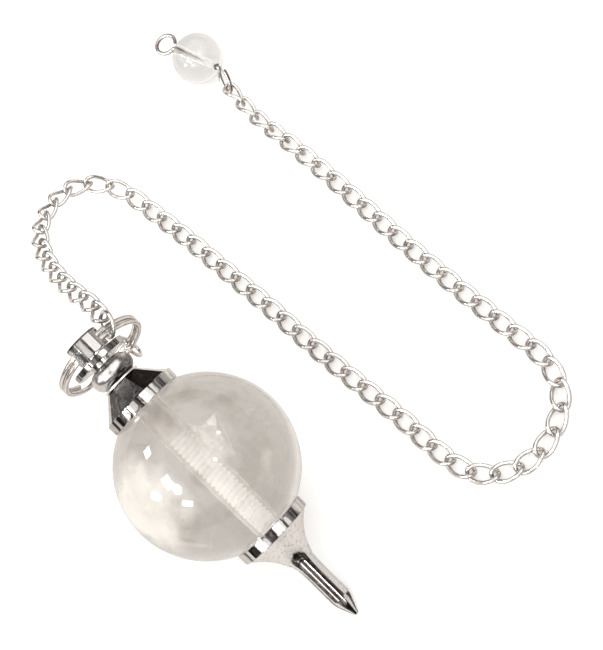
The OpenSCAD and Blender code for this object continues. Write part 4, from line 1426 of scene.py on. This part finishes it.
def set_camera(scene):
    """The camera at the photograph's place, with no shift and no depth of field."""
    data = bpy.data.cameras.new("camera")
    data.sensor_width = 36
    data.lens = FOCAL_PX / max(IMAGE) * data.sensor_width
    data.clip_start, data.clip_end = 0.01, 20
    camera = bpy.data.objects.new("camera", data)
    right, up, ahead = camera_axes()
    turn = Matrix(np.stack([right, up, -ahead], -1).tolist()).to_4x4()
    camera.matrix_world = Matrix.Translation(CAMERA_SPOT) @ turn
    scene.collection.objects.link(camera)
    scene.camera = camera


# Operators

def plan(context):
    """What the pieces are made from: the sizes of the pendant and of the links, the colours, and the
    layouts of the pendant, the split ring, the pin and the chain."""
    scene = context.scene
    p = SimpleNamespace(s=scene.pendant_sizes, k=scene.link_sizes, c=scene.pendulum_colours)
    p.m = pendant_layout(p.s)
    p.ring = ring_layout(p.s, p.k, p.m)
    p.pin = pin_layout(p.k, p.m)
    p.chain = chain_layout(p.k, p.m, p.ring, p.pin)
    return p


class PENDULUM_OT_stage(bpy.types.Operator):
    """Adds the pale floor, the studio light and the camera"""
    bl_idname = "pendulum.add_stage"
    bl_label = "Stage"

    def execute(self, context):
        p = plan(context)
        context.scene.view_settings.view_transform = "Standard"
        pale_floor(p.c)
        light_room(context.scene)
        hang_lamps(context.scene, p.m)
        set_camera(context.scene)
        return {"FINISHED"}


class PENDULUM_OT_ball(bpy.types.Operator):
    """Adds the drilled quartz ball with the leaves inside it"""
    bl_idname = "pendulum.add_ball"
    bl_label = "Quartz ball"

    def execute(self, context):
        p = plan(context)
        ball = quartz_ball(p.s, p.m)
        finish_piece(ball, "stone_ball", "clear_quartz", quartz(p.c, p.m), quartz_veil(p.c, p.m))
        return {"FINISHED"}


class PENDULUM_OT_rod(bpy.types.Operator):
    """Adds the rod with its helical thread"""
    bl_idname = "pendulum.add_rod"
    bl_label = "Threaded rod"

    def execute(self, context):
        p = plan(context)
        finish_piece(helical_rod(p.s, p.m), "threaded_rod", "steel_rod", rod_steel(p.c, p.m))
        return {"FINISHED"}


class PENDULUM_OT_caps(bpy.types.Operator):
    """Adds the upper cap and the long point cap"""
    bl_idname = "pendulum.add_caps"
    bl_label = "Caps"

    def execute(self, context):
        p = plan(context)
        plated = silver_plate(p.c, p.m)
        finish_piece(top_cap(p.s, p.m), "top_cap", "silver_plate", plated)
        finish_piece(point_cap(p.s, p.m), "point_cap", "silver_plate", plated)
        return {"FINISHED"}


class PENDULUM_OT_rings(bpy.types.Operator):
    """Adds the split ring and the two jump rings on it"""
    bl_idname = "pendulum.add_rings"
    bl_label = "Rings"

    def execute(self, context):
        p = plan(context)
        ring, silver = p.ring, bright_wire(p.c, "ring_wire")
        finish_piece(wound_ring(p.k, ring), "split_ring", "silver_wire", silver)
        for node, mid, axis, joint in (
                ("jump_ring", ring.jump_mid, ring.jump_axis, JUMP_JOINT),
                ("spare_ring", ring.spare_mid, ring.spare_axis, SPARE_JOINT)):
            small = wire_ring(node + "_wire", mid, axis, p.k, ring, joint)
            finish_piece(small, node, "silver_wire", silver)
        return {"FINISHED"}


class PENDULUM_OT_chain(bpy.types.Operator):
    """Adds the chain of twisted links"""
    bl_idname = "pendulum.add_chain"
    bl_label = "Chain"

    def execute(self, context):
        p = plan(context)
        finish_piece(twisted_chain(p.k, p.chain), "chain", "chain_silver", bright_wire(p.c, "chain_wire"))
        return {"FINISHED"}


class PENDULUM_OT_bead(bpy.types.Operator):
    """Adds the end bead and its eye pin"""
    bl_idname = "pendulum.add_bead"
    bl_label = "End bead and pin"

    def execute(self, context):
        p = plan(context)
        finish_piece(quartz_bead(p.k, p.pin), "end_bead", "clear_quartz", bead_quartz(p.c, p.pin))
        finish_piece(wire_pin(p.k, p.pin), "eye_pin", "silver_wire", bright_wire(p.c, "pin_wire"))
        return {"FINISHED"}


OPERATORS = (PENDULUM_OT_stage, PENDULUM_OT_ball, PENDULUM_OT_rod, PENDULUM_OT_caps, PENDULUM_OT_rings,
             PENDULUM_OT_chain, PENDULUM_OT_bead)


class PENDULUM_PT_panel(bpy.types.Panel):
    """Lists the pieces and their sizes"""
    bl_idname = "PENDULUM_PT_panel"
    bl_label = "Lying pendulum"
    bl_space_type = "VIEW_3D"
    bl_region_type = "UI"
    bl_category = "Pendulum"

    def draw(self, context):
        for operator in OPERATORS:
            self.layout.operator(operator.bl_idname)
        for group in (context.scene.pendant_sizes, context.scene.link_sizes, context.scene.pendulum_colours):
            box = self.layout.box()
            for name in group.__annotations__:
                box.prop(group, name)


CLASSES = (PendantSizes, LinkSizes, PendulumColours) + OPERATORS + (PENDULUM_PT_panel,)


def register():
    for kind in CLASSES:
        bpy.utils.register_class(kind)
    bpy.types.Scene.pendant_sizes = PointerProperty(type=PendantSizes, name="Pendant")
    bpy.types.Scene.link_sizes = PointerProperty(type=LinkSizes, name="Rings and chain")
    bpy.types.Scene.pendulum_colours = PointerProperty(type=PendulumColours, name="Colours")


def unregister():
    del bpy.types.Scene.pendulum_colours
    del bpy.types.Scene.link_sizes
    del bpy.types.Scene.pendant_sizes
    for kind in reversed(CLASSES):
        bpy.utils.unregister_class(kind)


def main():
    """Builds the whole scene."""
    register()
    for operator in OPERATORS:
        group, name = operator.bl_idname.split(".")
        getattr(getattr(bpy.ops, group), name)()


if __name__ == "__main__":
    main()
